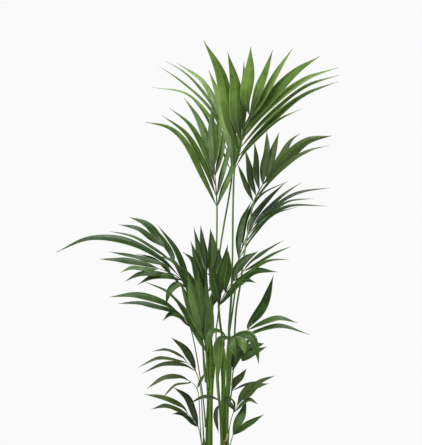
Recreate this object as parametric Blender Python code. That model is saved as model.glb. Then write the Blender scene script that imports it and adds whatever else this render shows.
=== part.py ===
"""A potted kentia palm: several young palms grown as one clump in a plain nursery pot.

Metres, +Z up, origin at the middle of the pot's underside, front of the plant towards -Y.
Every leaf is one grown piece: stalk, midrib and leaflets are one closed body. Every palm has
a stem of rolled leaf sheaths, and its leaves sit on that stem or on its top.
"""

import math

import bmesh
import bpy
from mathutils import Matrix, Vector

# ---- driving dimensions, in metres ----------------------------------------------------------

POT_HEIGHT = 0.220
POT_TOP_RADIUS = 0.115  # outside of the wall under the rim
POT_FOOT_RADIUS = 0.088
POT_WALL = 0.0022
POT_FLOOR = 0.0032
RIM_DEPTH = 0.014
RIM_OVERHANG = 0.0045
FOOT_ROUNDING = 0.004
DRAIN_HOLES = 8
DRAIN_HOLE_RADIUS = 0.005
DRAIN_CIRCLE_RADIUS = 0.062

SOIL_BELOW_RIM = 0.020
MOUND_HEIGHT = 0.034
MOUND_RADIUS = 0.085
PLANTING_DEPTH = 0.040

PALM_SCALE = 1.0  # every palm, about the middle of the soil's surface
DEPTH_SPREAD = 2.0  # how far the crowns open to the front and back, beside the tables
STEM_THICKNESS = 1.0  # beside the radii in STEMS
STALK_THICKNESS = 0.0085  # of a full-grown leaf, where it leaves its stem
LEAFLET_WIDTH = 1.0  # beside the widths in LEAVES
BLADE_THICKNESS = 0.0008

CLEARANCE = 0.0003  # between pieces that touch

POT_SIDES = 48
STEM_SIDES = 16
BLADE_STATIONS = (0.10, 0.26, 0.46, 0.66, 0.84, 1.0)  # shares of a leaflet's length

# ---- the palms ------------------------------------------------------------------------------
#
# Plant positions are in centimetres: x to the right, y to the back, z up. Heights count from
# SOIL_DATUM below the soil's surface, so the plants rise and sink with the soil. The tables
# describe the clump half pressed, as for a herbarium sheet. It opens to the front and back
# with height, from nothing at OPENING_FROM to the whole of DEPTH_SPREAD at OPENING_TO. Their
# x and z are as seen from VIEW_DISTANCE in front, with the eye at VIEW_POINT.

SOIL_DATUM = 20.0
OPENING_FROM, OPENING_TO = 25.0, 100.0
VIEW_DISTANCE = 1000.0
VIEW_POINT = (-2.0, 99.5)  # x and z

# A stem is its route above the soil and its radius at each point of the route.
STEMS = {
    "left": (
        ((-2.65, 0, 22), (-2.65, 0, 31), (-2.4, 0, 40), (-2.35, 0, 46), (-2.15, 0.1, 52), (-2.1, 0.2, 59)),
        (1.2, 1.15, 1.0, 1.25, 1.65, 1.3),
    ),
    "right": (
        ((2.85, 0, 22), (2.9, 0, 32), (3.2, 0, 40), (3.85, 0, 46), (4.0, 0, 52), (4.1, 0, 59)),
        (1.05, 0.95, 0.95, 0.78, 1.0, 0.9),
    ),
    "back": (
        ((2.0, 5, 22), (2.05, 5.1, 36), (2.15, 5.2, 46), (2.1, 5.0, 52), (2.1, 5.0, 58)),
        (0.8, 0.7, 0.7, 0.95, 0.8),
    ),
    "slender": (((1.65, -3.2, 22), (1.25, -3.4, 34), (0.2, -3.7, 46), (-0.1, -3.9, 53)), (0.5, 0.42, 0.5, 0.55)),
    "small_left": (((-4.2, -4, 22), (-4.5, -4.3, 28)), (0.75, 0.5)),
    "small_right": (((3.4, -4.6, 22), (3.8, -4.9, 26.5)), (0.75, 0.5)),
}

# The dry foot of an old stalk: its stem, seat, route and thickness beside a full-grown stalk.
OLD_STALK = ("right", (24.8, 250), ((3.2, -2.2, 26.8), (3.5, -2.7, 28.8)), 0.95)

# A leaf is: the stem it grows on; its seat, as height and side of the stem in degrees (0 is
# right, 90 back, 180 left, 270 front), or None on top of the stem; size, the thickness of its
# stalk beside a full-grown one; the way the upper side of the midrib faces, in degrees round
# and up; the stalk's route; the midrib's route; and its leaflets, the lowest first, on the
# right and on the left of the midrib as seen along it from its foot with the upper side up.
# A leaflet is: width; turn, in degrees, where 0 shows the blade flat to the front of the plant
# and 90 lays its upper side up; and its route, which ends at the tip.
LEAVES = {
    "leaf_a": dict(
        stem="right", seat=None, size=1.0, facing=(270, 12),
        stalk=((4.0, -0.3, 63), (4.8, -1.2, 75), (5.2, -2.4, 90), (5.4, -3.9, 106)),
        midrib=((5.9, -5.0, 117.5), (7.2, -5.6, 124), (9, -6.4, 130.5), (11, -7.6, 136)),
        right=(
            (3.0, 62, (9.6, -5.2, 124), (20, -5.8, 133.8), (28.5, -6.4, 137.7)),
            (3.4, 64, (14, -5.8, 130), (28, -7.0, 142), (40.5, -7.8, 146.8)),
            (3.5, 60, (15, -6.8, 133.5), (29, -8.2, 145.2), (41, -9.2, 149)),
            (3.5, 60, (16, -7.8, 137.6), (29, -9.8, 147.7), (40.5, -11.3, 151.5)),
            (4.1, 34, (17, -8.8, 140.8), (26, -11, 150), (34.5, -13, 155.3)),
            (3.6, 40, (15.4, -9.8, 142.5), (20.4, -11.4, 151), (25.3, -12.6, 157.8)),
            (3.4, 40, (13.6, -10.8, 144), (16.2, -12, 150.5), (18.7, -13.2, 157.4)),
        ),
        left=(
            (3.8, 16, (4.2, -3.4, 129), (0.6, -2.2, 142), (-2.8, -1.6, 150.7)),
            (4.7, 8, (4.9, -6.4, 131), (1.5, -7.8, 149), (-4.5, -9.4, 160.5)),
            (4.4, 14, (6.5, -7.6, 135), (6.1, -8.8, 146), (3.6, -9.8, 156.5)),
            (3.6, 22, (8.2, -5.4, 138.6), (9.2, -4.8, 146), (9.0, -4.2, 152.6)),
            (4.1, 14, (9.4, -8.8, 140.5), (10.8, -9.8, 150), (11.3, -10.8, 158.5)),
        ),
    ),
    "leaf_b": dict(
        stem="back", seat=None, size=0.95, facing=(270, 15),
        stalk=((1.6, 5.4, 62), (0.6, 6.1, 71), (0.8, 6.6, 88), (2.2, 7.4, 98), (3.8, 8.2, 107)),
        midrib=((5.0, 9, 116), (4.3, 9.6, 123), (2.4, 10.4, 130), (0.6, 11.2, 135)),
        right=(
            (2.4, 20, (6.8, 9.8, 124), (7.8, 10.4, 130), (8.4, 11, 138)),
            (2.6, 40, (7.8, 11, 128), (12.6, 12.4, 137), (16.4, 13.4, 142.5)),
            (2.8, 22, (6.4, 12.8, 137), (8.8, 14, 146), (9.0, 15.2, 153.6)),
            (3.0, 12, (2.0, 13.4, 139), (2.0, 14.8, 144), (0.4, 16, 150)),
        ),
        left=(
            (2.4, 72, (0.6, 9, 127), (-4, 8.4, 136), (-9.5, 8, 142.5)),
            (2.6, 72, (-1.4, 9.8, 134), (-10, 9.4, 142.8), (-21.5, 9, 144.8)),
            (2.6, 78, (-2.0, 11.2, 138), (-11, 11.6, 146.4), (-19.5, 11.6, 152)),
            (2.8, 72, (-2.4, 12.8, 141), (-10, 14, 149.4), (-17, 14.8, 153.6)),
            (3.4, 42, (-1.4, 14.2, 142), (-5.2, 15.8, 147.8), (-13.5, 17.4, 153)),
        ),
    ),
    "leaf_c": dict(
        stem="left", seat=None, size=0.9, facing=(270, 15),
        stalk=((-2.0, 0.6, 64), (-0.9, 1.4, 78), (-0.2, 2, 90)),
        midrib=((0, 2.2, 104.6), (-0.2, 2.2, 109), (-0.6, 2.0, 114), (-0.9, 1.8, 119)),
        right=(
            (2.3, 24, (1.9, 2.8, 110.5), (4.3, 3.4, 116), (6.5, 4, 124)),
            (2.2, 26, (1.7, 3.6, 116.5), (3.3, 4.4, 122), (5.0, 5.2, 130)),
            (2.3, 26, (0.9, 4.6, 121.5), (2.1, 5.6, 128), (3.4, 6.6, 136)),
            (2.6, 22, (0.0, 5.2, 126), (0.6, 6.4, 132), (1.4, 7.6, 139.6)),
        ),
        left=(
            (2.7, 34, (-3.8, 1.4, 113.6), (-10.4, -0.4, 126.6), (-15.9, -1.8, 131.4), (-24, -3.4, 133.2)),
            (2.5, 44, (-3.9, 2.2, 118.5), (-10.2, 1.8, 129.4), (-18.5, 0.8, 135.5)),
            (2.5, 42, (-3.6, 3.4, 122.5), (-8.8, 3.8, 132.2), (-16, 3.8, 138)),
            (3.2, 22, (-3.0, 4.8, 126.5), (-6.2, 6, 134.5), (-11, 7.2, 141.3)),
            (3.0, 14, (-1.2, 3.2, 124.5), (-1.7, 4.4, 131), (-1.6, 5.6, 139)),
        ),
    ),
    "leaf_d": dict(
        stem="right", seat=(50, 0), size=0.95, facing=(270, 30),
        stalk=((5.8, 0.4, 60), (6.4, 1.2, 70), (8.0, 2.6, 80), (9.3, 3.8, 90), (10.8, 4.8, 98.5)),
        midrib=((12.2, 5.6, 106), (13.3, 5.9, 108.6), (14.8, 6.2, 111.4), (16.8, 6.7, 114.4)),
        right=(
            (3.0, 78, (17, 4.4, 113), (25.6, 3.0, 120.8), (34, 1.8, 124.8)),
            (3.0, 74, (21, 5.2, 117.8), (29.4, 4.4, 123.4), (37.8, 3.6, 125.4)),
            (4.0, 16, (22.4, 6.4, 120.6), (30, 6.0, 127), (38.5, 5.4, 128.6)),
            (3.2, 46, (21.6, 8.2, 122.8), (24.6, 8.8, 127.2), (28, 9.4, 129.5)),
        ),
        left=(
            (2.8, 48, (10.5, 6.2, 111), (8.5, 6.6, 115.8), (6.8, 7, 119.4)),
            (3.2, 38, (11.7, 7, 113.5), (11.1, 7.6, 118.4), (9.3, 8.2, 124.4)),
            (3.2, 36, (13.5, 7.8, 116), (13.5, 8.6, 120.8), (12.5, 9.4, 126.7)),
            (3.4, 32, (15.4, 8.6, 118.6), (16.4, 9.4, 123.8), (16.7, 10.4, 130.4)),
            (3.2, 40, (17.9, 9, 121.2), (19.1, 9.8, 125.2), (20.8, 10.8, 129.9)),
        ),
    ),
    "leaf_e": dict(
        stem="back", seat=(44, 0), size=0.9, facing=(270, 30),
        stalk=((3.4, 6.6, 56), (5.2, 7.2, 70), (6.5, 7.8, 80)),
        midrib=((7.2, 8.2, 87), (8.6, 8.8, 91.6), (10.4, 9.6, 95.6), (12.6, 10.4, 99)),
        right=(
            (3.0, 74, (11.4, 8.0, 94.4), (19, 7.4, 102.4), (27, 6.8, 104.8)),
            (2.8, 76, (13.6, 9.2, 98.4), (23, 9.2, 105.2), (37, 8.8, 105.1)),
            (2.8, 76, (15.6, 10.8, 101.6), (23.6, 11.4, 106.8), (32.5, 11.6, 107.6)),
            (3.2, 68, (16.4, 12.6, 103.2), (26, 14, 109.6), (38, 14.6, 111.2)),
        ),
        left=(
            (3.0, 36, (7.2, 9, 94), (8.5, 9.6, 100.5), (11.5, 10.4, 106.6)),
            (2.8, 62, (9.6, 11, 101), (14, 12, 108.6), (24, 13, 113.5)),
            (3.0, 40, (12, 13.2, 101.6), (17, 14.6, 107.8), (23, 15.6, 113)),
            (3.0, 60, (16, 14.4, 103.6), (21.6, 16, 108.8), (28.3, 17.2, 113)),
        ),
    ),
    "leaf_f": dict(
        stem="left", seat=(49, 180), size=0.95, facing=(270, 38),
        stalk=((-5.2, -0.4, 62), (-7.4, -0.9, 70)),
        midrib=((-9.4, -1.4, 75.4), (-12.2, -2, 81.4), (-15.2, -2.6, 87.4), (-17.8, -3, 91.6)),
        right=(
            (2.9, 48, (-10.2, -0.4, 82), (-13.4, 0.4, 90.4), (-20, 1, 98.8)),
            (2.8, 46, (-15, -0.8, 89), (-19.4, -0.4, 95.4), (-26, 0.2, 99.6)),
            (3.3, 42, (-19.2, -1, 94.4), (-23.4, -0.6, 99.2), (-29.5, -0.2, 101.4)),
        ),
        left=(
            (2.6, 68, (-15.6, -3, 82.8), (-21, -4, 87.6), (-27, -5, 89)),
            (3.4, 62, (-18, -4.2, 87.2), (-30, -6.2, 93.6), (-43, -8.2, 94.4), (-54, -9.8, 89.5)),
            (3.0, 66, (-20, -3.8, 90.6), (-28, -4.4, 95.2), (-36, -5, 96.6)),
            (3.0, 56, (-20.6, -2.6, 93.4), (-26, -2.6, 97.6), (-33, -2.6, 98.9)),
        ),
    ),
    "leaf_g": dict(
        stem="left", seat=(46, 215), size=0.9, facing=(270, 45),
        stalk=((-5.0, -2.6, 60), (-7.0, -4.2, 70)),
        midrib=((-9.2, -5.6, 76.6), (-12, -6.6, 80.4), (-16, -7.4, 82.8), (-20, -8, 84.2)),
        right=(
            (2.9, 50, (-11.8, -6.0, 82.6), (-14.4, -6.2, 86.6), (-19.5, -6.2, 88.4)),
            (3.2, 64, (-17, -6.4, 85.2), (-26, -6.8, 88.2), (-36.5, -7, 89.8)),
            (3.2, 54, (-23.6, -8.2, 85.8), (-31, -8.8, 87.2), (-39.5, -9.4, 87.3)),
        ),
        left=(
            (3.0, 44, (-12.6, -7.6, 79.4), (-15.8, -8.8, 77), (-17.3, -9.6, 71.5)),
            (3.0, 58, (-16.4, -8.8, 82), (-21.6, -9.8, 81.6), (-26.8, -10.6, 78.6)),
            (3.2, 62, (-20.4, -9.6, 83), (-26, -10.8, 82.6), (-31, -11.8, 79.7)),
            (2.9, 66, (-23.6, -9.6, 84.2), (-28.4, -10.8, 84.6), (-32.4, -11.8, 82.8)),
        ),
    ),
    "leaf_h": dict(
        stem="left", seat=(31, 215), size=0.7, facing=(270, 45),
        stalk=((-4.6, -2.2, 40), (-6.0, -4.2, 50), (-7.6, -7.0, 59)),
        midrib=((-9.0, -9.4, 64.4), (-10.8, -10.8, 67.4), (-13, -12, 69.6)),
        right=(
            (2.8, 72, (-11.2, -10, 70.6), (-16.4, -11.6, 76.6), (-24, -13.2, 79.6)),
            (3.6, 56, (-18, -12.4, 73.2), (-27, -13.4, 75.6), (-36, -14.4, 74.6)),
        ),
        left=(
            (2.8, 54, (-12.6, -12.4, 68.6), (-15.6, -13.6, 69), (-18.2, -14.8, 66.6)),
            (3.6, 54, (-18, -14.4, 71.4), (-25.6, -15.8, 73), (-33, -17, 72.4)),
        ),
    ),
    "leaf_i": dict(
        stem="left", seat=(48, 292), size=0.8, facing=(270, 15),
        stalk=((-1.7, -2.5, 57), (-2.0, -3.0, 65)),
        midrib=((-2.4, -3.4, 70), (-2.8, -3.6, 74.6), (-3.2, -3.6, 79), (-3.4, -3.4, 83)),
        right=(
            (4.0, 22, (-0.4, -4.4, 75.6), (1.6, -4.8, 82), (3.6, -5, 92.3)),
            (4.2, 20, (-1.2, -3.8, 79), (0.2, -3.4, 84.6), (0.6, -3, 91)),
            (4.0, 24, (-2.2, -3, 82), (-1.6, -2.4, 88.6), (-2.2, -1.6, 97.5)),
        ),
        left=(
            (3.0, 30, (-5.8, -4.1, 76), (-10.4, -3.7, 83), (-15.4, -3.9, 86.4)),
            (3.4, 36, (-5.4, -4.4, 79.6), (-8.0, -4.2, 87), (-11.4, -4.4, 89.6)),
            (3.4, 40, (-5.2, -3.6, 83), (-7, -3, 88.4), (-8.8, -2.6, 93.3)),
            (3.0, 44, (-4.8, -2.4, 86), (-6.2, -1.6, 92), (-7.8, -1.2, 98)),
            (3.2, 34, (-3.9, -1.8, 88), (-4.7, -0.8, 93.4), (-5.5, -0.2, 98.6)),
        ),
    ),
    "leaf_j": dict(
        stem="left", seat=(44, 250), size=0.85, facing=(270, 30),
        stalk=((-3.3, -3.4, 51),),
        midrib=((-3.7, -4.8, 56), (-4.2, -6.2, 60), (-5.0, -7.4, 64)),
        right=(
            (3.6, 12, (-3.0, -6.4, 61.6), (-2.7, -7.6, 67.6), (-2.0, -8.4, 76)),
            (3.8, 15, (-3.8, -7.7, 66), (-3.8, -8.8, 72), (-3.8, -9.8, 80)),
            (3.8, 20, (-5.0, -8.9, 69), (-5.8, -9.8, 74.6), (-6.2, -10.8, 83)),
        ),
        left=(
            (3.2, 33, (-6.0, -6.4, 61.6), (-10.0, -7.4, 69), (-15.5, -8.2, 76)),
            (3.6, 26, (-6.6, -8.4, 66.6), (-9.4, -9.8, 73), (-12.4, -11.2, 79.6)),
            (3.8, 20, (-6.3, -10, 69.4), (-8.0, -11.2, 75), (-9.8, -12.4, 82)),
        ),
    ),
    "leaf_k": dict(
        stem="slender", seat=None, size=0.7, facing=(270, 42),
        stalk=((-0.2, -4.2, 54), (-0.3, -4.9, 63), (0.2, -5.3, 67)),
        midrib=((0.8, -5.8, 71.6), (2.8, -6.8, 76), (5.6, -7.8, 80), (9, -8.8, 83.4)),
        right=(
            (3.2, 50, (4.0, -8, 76.2), (8.6, -10.4, 80.4), (13.2, -12.4, 79.4)),
            (3.2, 54, (6.4, -9.2, 78.8), (12.6, -11.6, 83.4), (20.2, -13.6, 83)),
            (2.8, 72, (9.8, -10, 82.8), (17, -11.8, 87), (24, -13.2, 87.2)),
            (3.0, 64, (12.4, -9.6, 85.6), (18.4, -10.4, 89.2), (24.7, -11.2, 91.5)),
        ),
        left=(
            (3.8, 16, (0.1, -5.9, 76), (-0.8, -6, 80), (-2.2, -6.2, 86)),
            (3.8, 18, (2.5, -6.8, 80), (3.2, -6.9, 84.4), (3.9, -7, 90)),
            (3.4, 40, (6.2, -7.2, 83.6), (9.4, -7.2, 87.4), (13.9, -7.2, 89.9)),
            (2.6, 74, (11, -8, 86.4), (16, -8, 90.2), (22.3, -8, 93.6)),
        ),
    ),
    "leaf_l": dict(
        stem="right", seat=(47, 285), size=0.8, facing=(270, 45),
        stalk=((4.7, -2.8, 54.5),),
        midrib=((6.3, -3.6, 59.4), (8.4, -5, 62), (10.6, -6.4, 63.8)),
        right=(
            (2.8, 70, (12.6, -7, 63.2), (21, -9.8, 65.2), (31, -12.4, 62)),
            (3.0, 62, (14.4, -8.2, 66), (20.6, -9.6, 67.8), (27, -10.8, 65.9)),
        ),
        left=(
            (3.6, 38, (10.8, -4.6, 65.4), (15.4, -5.2, 72), (19, -6, 82)),
        ),
    ),
    "leaf_m": dict(
        stem="right", seat=(41, 265), size=0.85, facing=(90, 60),
        stalk=((3.4, -3.6, 49), (3.5, -5.8, 55.5)),
        midrib=((3.7, -8, 59.6), (4.6, -10.4, 61.2), (5.8, -12.8, 61.6)),
        right=(
            (3.0, 25, (7.4, -9.6, 61.6), (11.2, -11.2, 61.4), (13.1, -12.6, 57.7), (14, -13.6, 52)),
            (3.2, 8, (7.4, -13.4, 60.8), (8.6, -15.4, 59), (9.4, -17.2, 55.4)),
        ),
        left=(
            (2.6, 56, (1.4, -9.4, 62.6), (-1.6, -10.4, 62.8), (-4.3, -11.4, 57.5)),
            (3.4, 22, (1.3, -10.4, 60.4), (0.5, -10.6, 55.6), (0.6, -10.4, 47.6)),
            (3.0, 12, (5.9, -14.6, 60.2), (6.2, -16, 57.4), (6.4, -17, 53.4)),
        ),
    ),
    "leaf_n": dict(
        stem="small_left", seat=None, size=0.5, facing=(270, 42),
        stalk=((-4.9, -4.8, 35), (-5.7, -5.6, 45)),
        midrib=((-7.0, -6.4, 49.4), (-8.4, -7, 51.4), (-10.4, -7.6, 52.8)),
        right=(
            (3.0, 36, (-8.2, -6, 53.4), (-10.6, -5.8, 57.4), (-15.3, -5.8, 61)),
            (2.6, 68, (-11.4, -7.2, 54.6), (-16.6, -7.6, 57.2), (-21.8, -8.2, 56.4)),
        ),
        left=(
            (2.6, 68, (-11, -8.8, 52.2), (-18, -10.4, 52.4), (-25, -11.8, 49)),
            (2.6, 68, (-13, -8.6, 53.6), (-19.4, -9.4, 54.6), (-26.5, -10.4, 51)),
        ),
    ),
    "leaf_o": dict(
        stem="small_left", seat=(26, 180), size=0.5, facing=(270, 45),
        stalk=((-5.7, -5.4, 33), (-6.0, -6.6, 40)),
        midrib=((-6.6, -7.6, 43.6), (-7.8, -8.6, 45.4), (-9.4, -9.6, 46.6)),
        right=(
            (1.6, 40, (-5.9, -8.2, 46.2), (-5.0, -8.6, 47.7), (-3.7, -8.8, 49.7)),
            (2.8, 52, (-12, -10, 48.2), (-17.6, -11.2, 48), (-23.5, -12.4, 43.9)),
        ),
        left=(
            (2.4, 66, (-9.2, -10.4, 46), (-14, -12, 45.4), (-18.2, -13.2, 40.9)),
        ),
    ),
    "leaf_p": dict(
        stem="small_left", seat=(24, 215), size=0.5, facing=(270, 45),
        stalk=((-5.6, -5.8, 28),),
        midrib=((-6.2, -7.0, 30.8), (-7.8, -8.4, 33.4), (-10, -9.8, 35.6)),
        right=(
            (3.2, 34, (-7.4, -7.2, 35.6), (-9.6, -7.8, 40.8), (-14.5, -8.6, 44.3)),
            (2.8, 56, (-11.2, -9.4, 37.8), (-17, -10.6, 40.8), (-24.5, -11.8, 42)),
        ),
        left=(
            (2.8, 54, (-8.4, -9.4, 33.2), (-11.6, -10.8, 35.6), (-15, -12, 35.4)),
            (2.8, 56, (-12.4, -11.2, 36.8), (-17, -12.6, 38.4), (-22, -13.8, 37)),
        ),
    ),
    "leaf_q": dict(
        stem="small_right", seat=None, size=0.5, facing=(270, 42),
        stalk=((4.2, -5.2, 31),),
        midrib=((5.4, -6.2, 35.6), (6.5, -6.9, 37.8), (8.2, -7.8, 40.2)),
        right=(
            (2.2, 64, (8.4, -8.2, 39.2), (10.8, -9.4, 40.4), (13.8, -10.6, 38.6)),
            (2.6, 56, (10.2, -9.6, 42), (13.2, -10.8, 44.8), (17.4, -11.8, 45.6)),
        ),
        left=(
            (2.0, 62, (5.6, -6.0, 38.8), (4.6, -5.7, 40.3), (2.4, -5.6, 39.8)),
            (2.8, 40, (8.8, -7.8, 43), (11.4, -8.2, 45), (14.8, -8.8, 44.2)),
            (2.8, 52, (10.6, -8.6, 43.6), (14, -9.2, 46.4), (19.4, -10.2, 48.2)),
        ),
    ),
    "leaf_r": dict(
        stem="small_right", seat=(24, 320), size=0.5, facing=(270, 42),
        stalk=((4.8, -6.0, 26.4),),
        midrib=((5.2, -6.6, 28), (6.0, -7.2, 29.4), (7.0, -8, 30.4)),
        right=(
            (2.8, 54, (9.2, -9.2, 31.6), (12.4, -10.4, 33.4), (15.8, -11.6, 35.3)),
        ),
        left=(
            (3.2, 28, (6.8, -6.8, 32.4), (8.4, -6.2, 35.6), (9.8, -5.6, 40.2)),
        ),
    ),
    "leaf_s": dict(
        stem="right", seat=(38, 345), size=0.7, facing=(270, 40),
        stalk=((5.0, -0.7, 44.5),),
        midrib=((5.4, -1.1, 49.6), (6.4, -1.8, 52.4), (8.4, -2.2, 54.4)),
        right=(
            (2.6, 36, (8.4, -3.4, 53.8), (12, -4.6, 56), (16.8, -5.6, 58)),
        ),
        left=(
            (3.6, 20, (6.0, -2.0, 54.2), (8.4, -2.2, 58), (11.8, -2.4, 61)),
            (3.4, 24, (9.6, -2.8, 56.4), (12.6, -3, 58.2), (15.8, -3.2, 59)),
        ),
    ),
    "leaf_t": dict(
        stem="right", seat=(39, 30), size=0.5, facing=(270, 40),
        stalk=((4.6, 1.1, 41.6),),
        midrib=((4.9, 1.3, 42.8), (5.4, 1.3, 43.8), (6.4, 1.2, 44.7)),
        right=(
            (2.0, 66, (8.8, 0.6, 45.2), (13.4, -0.4, 46.2), (17.8, -1.2, 47.9)),
        ),
        left=(
            (2.8, 32, (5.9, 1.4, 46.2), (7.8, 1.4, 48), (9.9, 1.4, 50.6)),
        ),
    ),
    "leaf_u": dict(
        stem="slender", seat=(31, 260), size=0.5, facing=(270, 45),
        stalk=((1.5, -4.7, 35),),
        midrib=((1.3, -5.4, 38), (1.2, -6.2, 39), (1.6, -7, 39.8)),
        right=(
            (2.0, 44, (3.2, -8.0, 39.4), (4.6, -9.0, 38.1), (6.2, -9.6, 36)),
        ),
        left=(
            (1.8, 20, (0.1, -6.2, 37.6), (-0.6, -6.6, 34.6), (0.5, -6.8, 29)),
            (1.8, 64, (-1.6, -7.4, 40.8), (-4.8, -8, 40.9), (-9.2, -8.6, 38.8)),
        ),
    ),
}

# ---- material colours, linear -----------------------------------------------------------------

POT_PLASTIC = ("Moulded polypropylene, dark grey", (0.022, 0.022, 0.024), 0.45)
PEAT = ("Peat potting mix", (0.035, 0.022, 0.014), 1.0)
SHEATH = ("Palm leaf sheath, green", (0.075, 0.190, 0.028), 0.5)
DRY_STALK = ("Dry palm stalk, pale brown", (0.420, 0.290, 0.170), 0.7)
LEAF = ("Kentia leaf", (0.035, 0.130, 0.030), 0.4)

SOIL_TOP = POT_HEIGHT - SOIL_BELOW_RIM


def in_place(point):
    """A table's position, in metres from the middle of the pot's underside."""
    x, y, z = point
    cm = 0.01 * PALM_SCALE
    share = min(max((z - OPENING_FROM) / (OPENING_TO - OPENING_FROM), 0), 1)
    y *= 1 + (DEPTH_SPREAD - 1) * share * share * (3 - 2 * share)
    apart = 1 + y / VIEW_DISTANCE
    x = VIEW_POINT[0] + (x - VIEW_POINT[0]) * apart
    z = VIEW_POINT[1] + (z - VIEW_POINT[1]) * apart
    return Vector((x * cm, y * cm, SOIL_TOP + (z - SOIL_DATUM) * cm))


# ---- the scene's bookkeeping --------------------------------------------------------------------


def clear_scene():
    for obj in list(bpy.data.objects):
        bpy.data.objects.remove(obj, do_unlink=True)
    for collection in list(bpy.data.collections):
        bpy.data.collections.remove(collection)


def new_collection(name, helper=False):
    collection = bpy.data.collections.new(name)
    bpy.context.scene.collection.children.link(collection)
    collection.hide_render = helper
    return collection


def principled(name, colour, roughness):
    material = bpy.data.materials.new(name)
    material.use_nodes = True
    shader = material.node_tree.nodes["Principled BSDF"]
    shader.inputs["Base Color"].default_value = (*colour, 1)
    shader.inputs["Roughness"].default_value = roughness
    material.diffuse_color = (*colour, 1)
    return material


def new_object(name, bm, collection, look=None, smooth=True):
    """An object made from a bmesh, with its own material and its faces turned outwards."""
    bmesh.ops.recalc_face_normals(bm, faces=bm.faces)
    mesh = bpy.data.meshes.new(name)
    bm.to_mesh(mesh)
    bm.free()
    mesh.polygons.foreach_set("use_smooth", [smooth] * len(mesh.polygons))
    obj = bpy.data.objects.new(name, mesh)
    collection.objects.link(obj)
    if look:
        mesh.materials.append(principled(f"{look[0]} ({name})", *look[1:]))
    return obj


def as_cutter(obj):
    obj.hide_render = True
    obj.display_type = "WIRE"
    return obj


def cut(obj, cutter):
    modifier = obj.modifiers.new(f"cut {cutter.name}", "BOOLEAN")
    modifier.operation = "DIFFERENCE"
    modifier.solver = "EXACT"
    modifier.object = cutter


# ---- curves -------------------------------------------------------------------------------------


class Route:
    """A smooth curve through points, measured by length."""

    STEPS = 12

    def __init__(self, points):
        ends = [2 * points[0] - points[1], *points, 2 * points[-1] - points[-2]]
        self.points, self.reach, self.at_point = [points[0].copy()], [0.0], [0.0]
        for before, start, end, after in zip(ends, ends[1:], ends[2:], ends[3:]):
            for step in range(1, self.STEPS + 1):
                self._add(self._between(before, start, end, after, step / self.STEPS))
            self.at_point.append(self.reach[-1])
        self.length = self.reach[-1]

    def _add(self, point):
        self.reach.append(self.reach[-1] + (point - self.points[-1]).length)
        self.points.append(point)

    @staticmethod
    def _between(before, start, end, after, share):
        """A centripetal Catmull-Rom span, which doesn't loop where points are unevenly spaced."""
        a, b, c = (max((q - p).length, 1e-6) ** 0.5 for p, q in
                   ((before, start), (start, end), (end, after)))
        leave = ((start - before) / a - (end - before) / (a + b) + (end - start) / b) * b
        arrive = ((end - start) / b - (after - start) / (b + c) + (after - end) / c) * b
        s, s2, s3 = share, share**2, share**3
        return (start * (2 * s3 - 3 * s2 + 1) + leave * (s3 - 2 * s2 + s)
                + end * (3 * s2 - 2 * s3) + arrive * (s3 - s2))

    def point(self, length):
        length = min(max(length, 0.0), self.length)
        for i in range(1, len(self.reach)):
            if self.reach[i] >= length:
                break
        span = self.reach[i] - self.reach[i - 1]
        return self.points[i - 1].lerp(self.points[i], (length - self.reach[i - 1]) / span)

    def direction(self, length, within=0.004):
        near = max(length - within, 0.0)
        far = min(length + within, self.length)
        return (self.point(far) - self.point(near)).normalized()


def square_to(vector, direction):
    """The vector with its share along the direction taken away, one unit long."""
    return (vector - direction * vector.dot(direction)).normalized()


def carried(vector, directions):
    """The vector moved along the directions without twist, one for each of them."""
    moved = [square_to(vector, directions[0])]
    for direction in directions[1:]:
        moved.append(square_to(moved[-1], direction))
    return moved


def compass(degrees, lift=0.0):
    around, up = math.radians(degrees), math.radians(lift)
    flat = math.cos(up)
    return Vector((math.cos(around) * flat, math.sin(around) * flat, math.sin(up)))


# ---- pot and soil -------------------------------------------------------------------------------


def turned(name, outline, collection, look=None):
    """A body of revolution. The outline runs from the top of the outer side down and back up."""
    bm = bmesh.new()
    corners = [bm.verts.new((radius, 0, height)) for radius, height in outline]
    for a, b in zip(corners, corners[1:]):
        bm.edges.new((a, b))
    if outline[0][0] > 0:
        bm.edges.new((corners[-1], corners[0]))
    bmesh.ops.spin(bm, geom=bm.verts[:] + bm.edges[:], cent=(0, 0, 0), axis=(0, 0, 1),
                   angle=2 * math.pi, steps=POT_SIDES, use_merge=True)
    bmesh.ops.remove_doubles(bm, verts=bm.verts, dist=1e-6)
    return new_object(name, bm, collection, look)


def wall_radius(height, inside=0.0):
    """Outside radius of the pot's tapered wall at a height, less a thickness."""
    share = height / (POT_HEIGHT - RIM_DEPTH)
    return POT_FOOT_RADIUS + (POT_TOP_RADIUS - POT_FOOT_RADIUS) * min(share, 1) - inside


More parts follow.
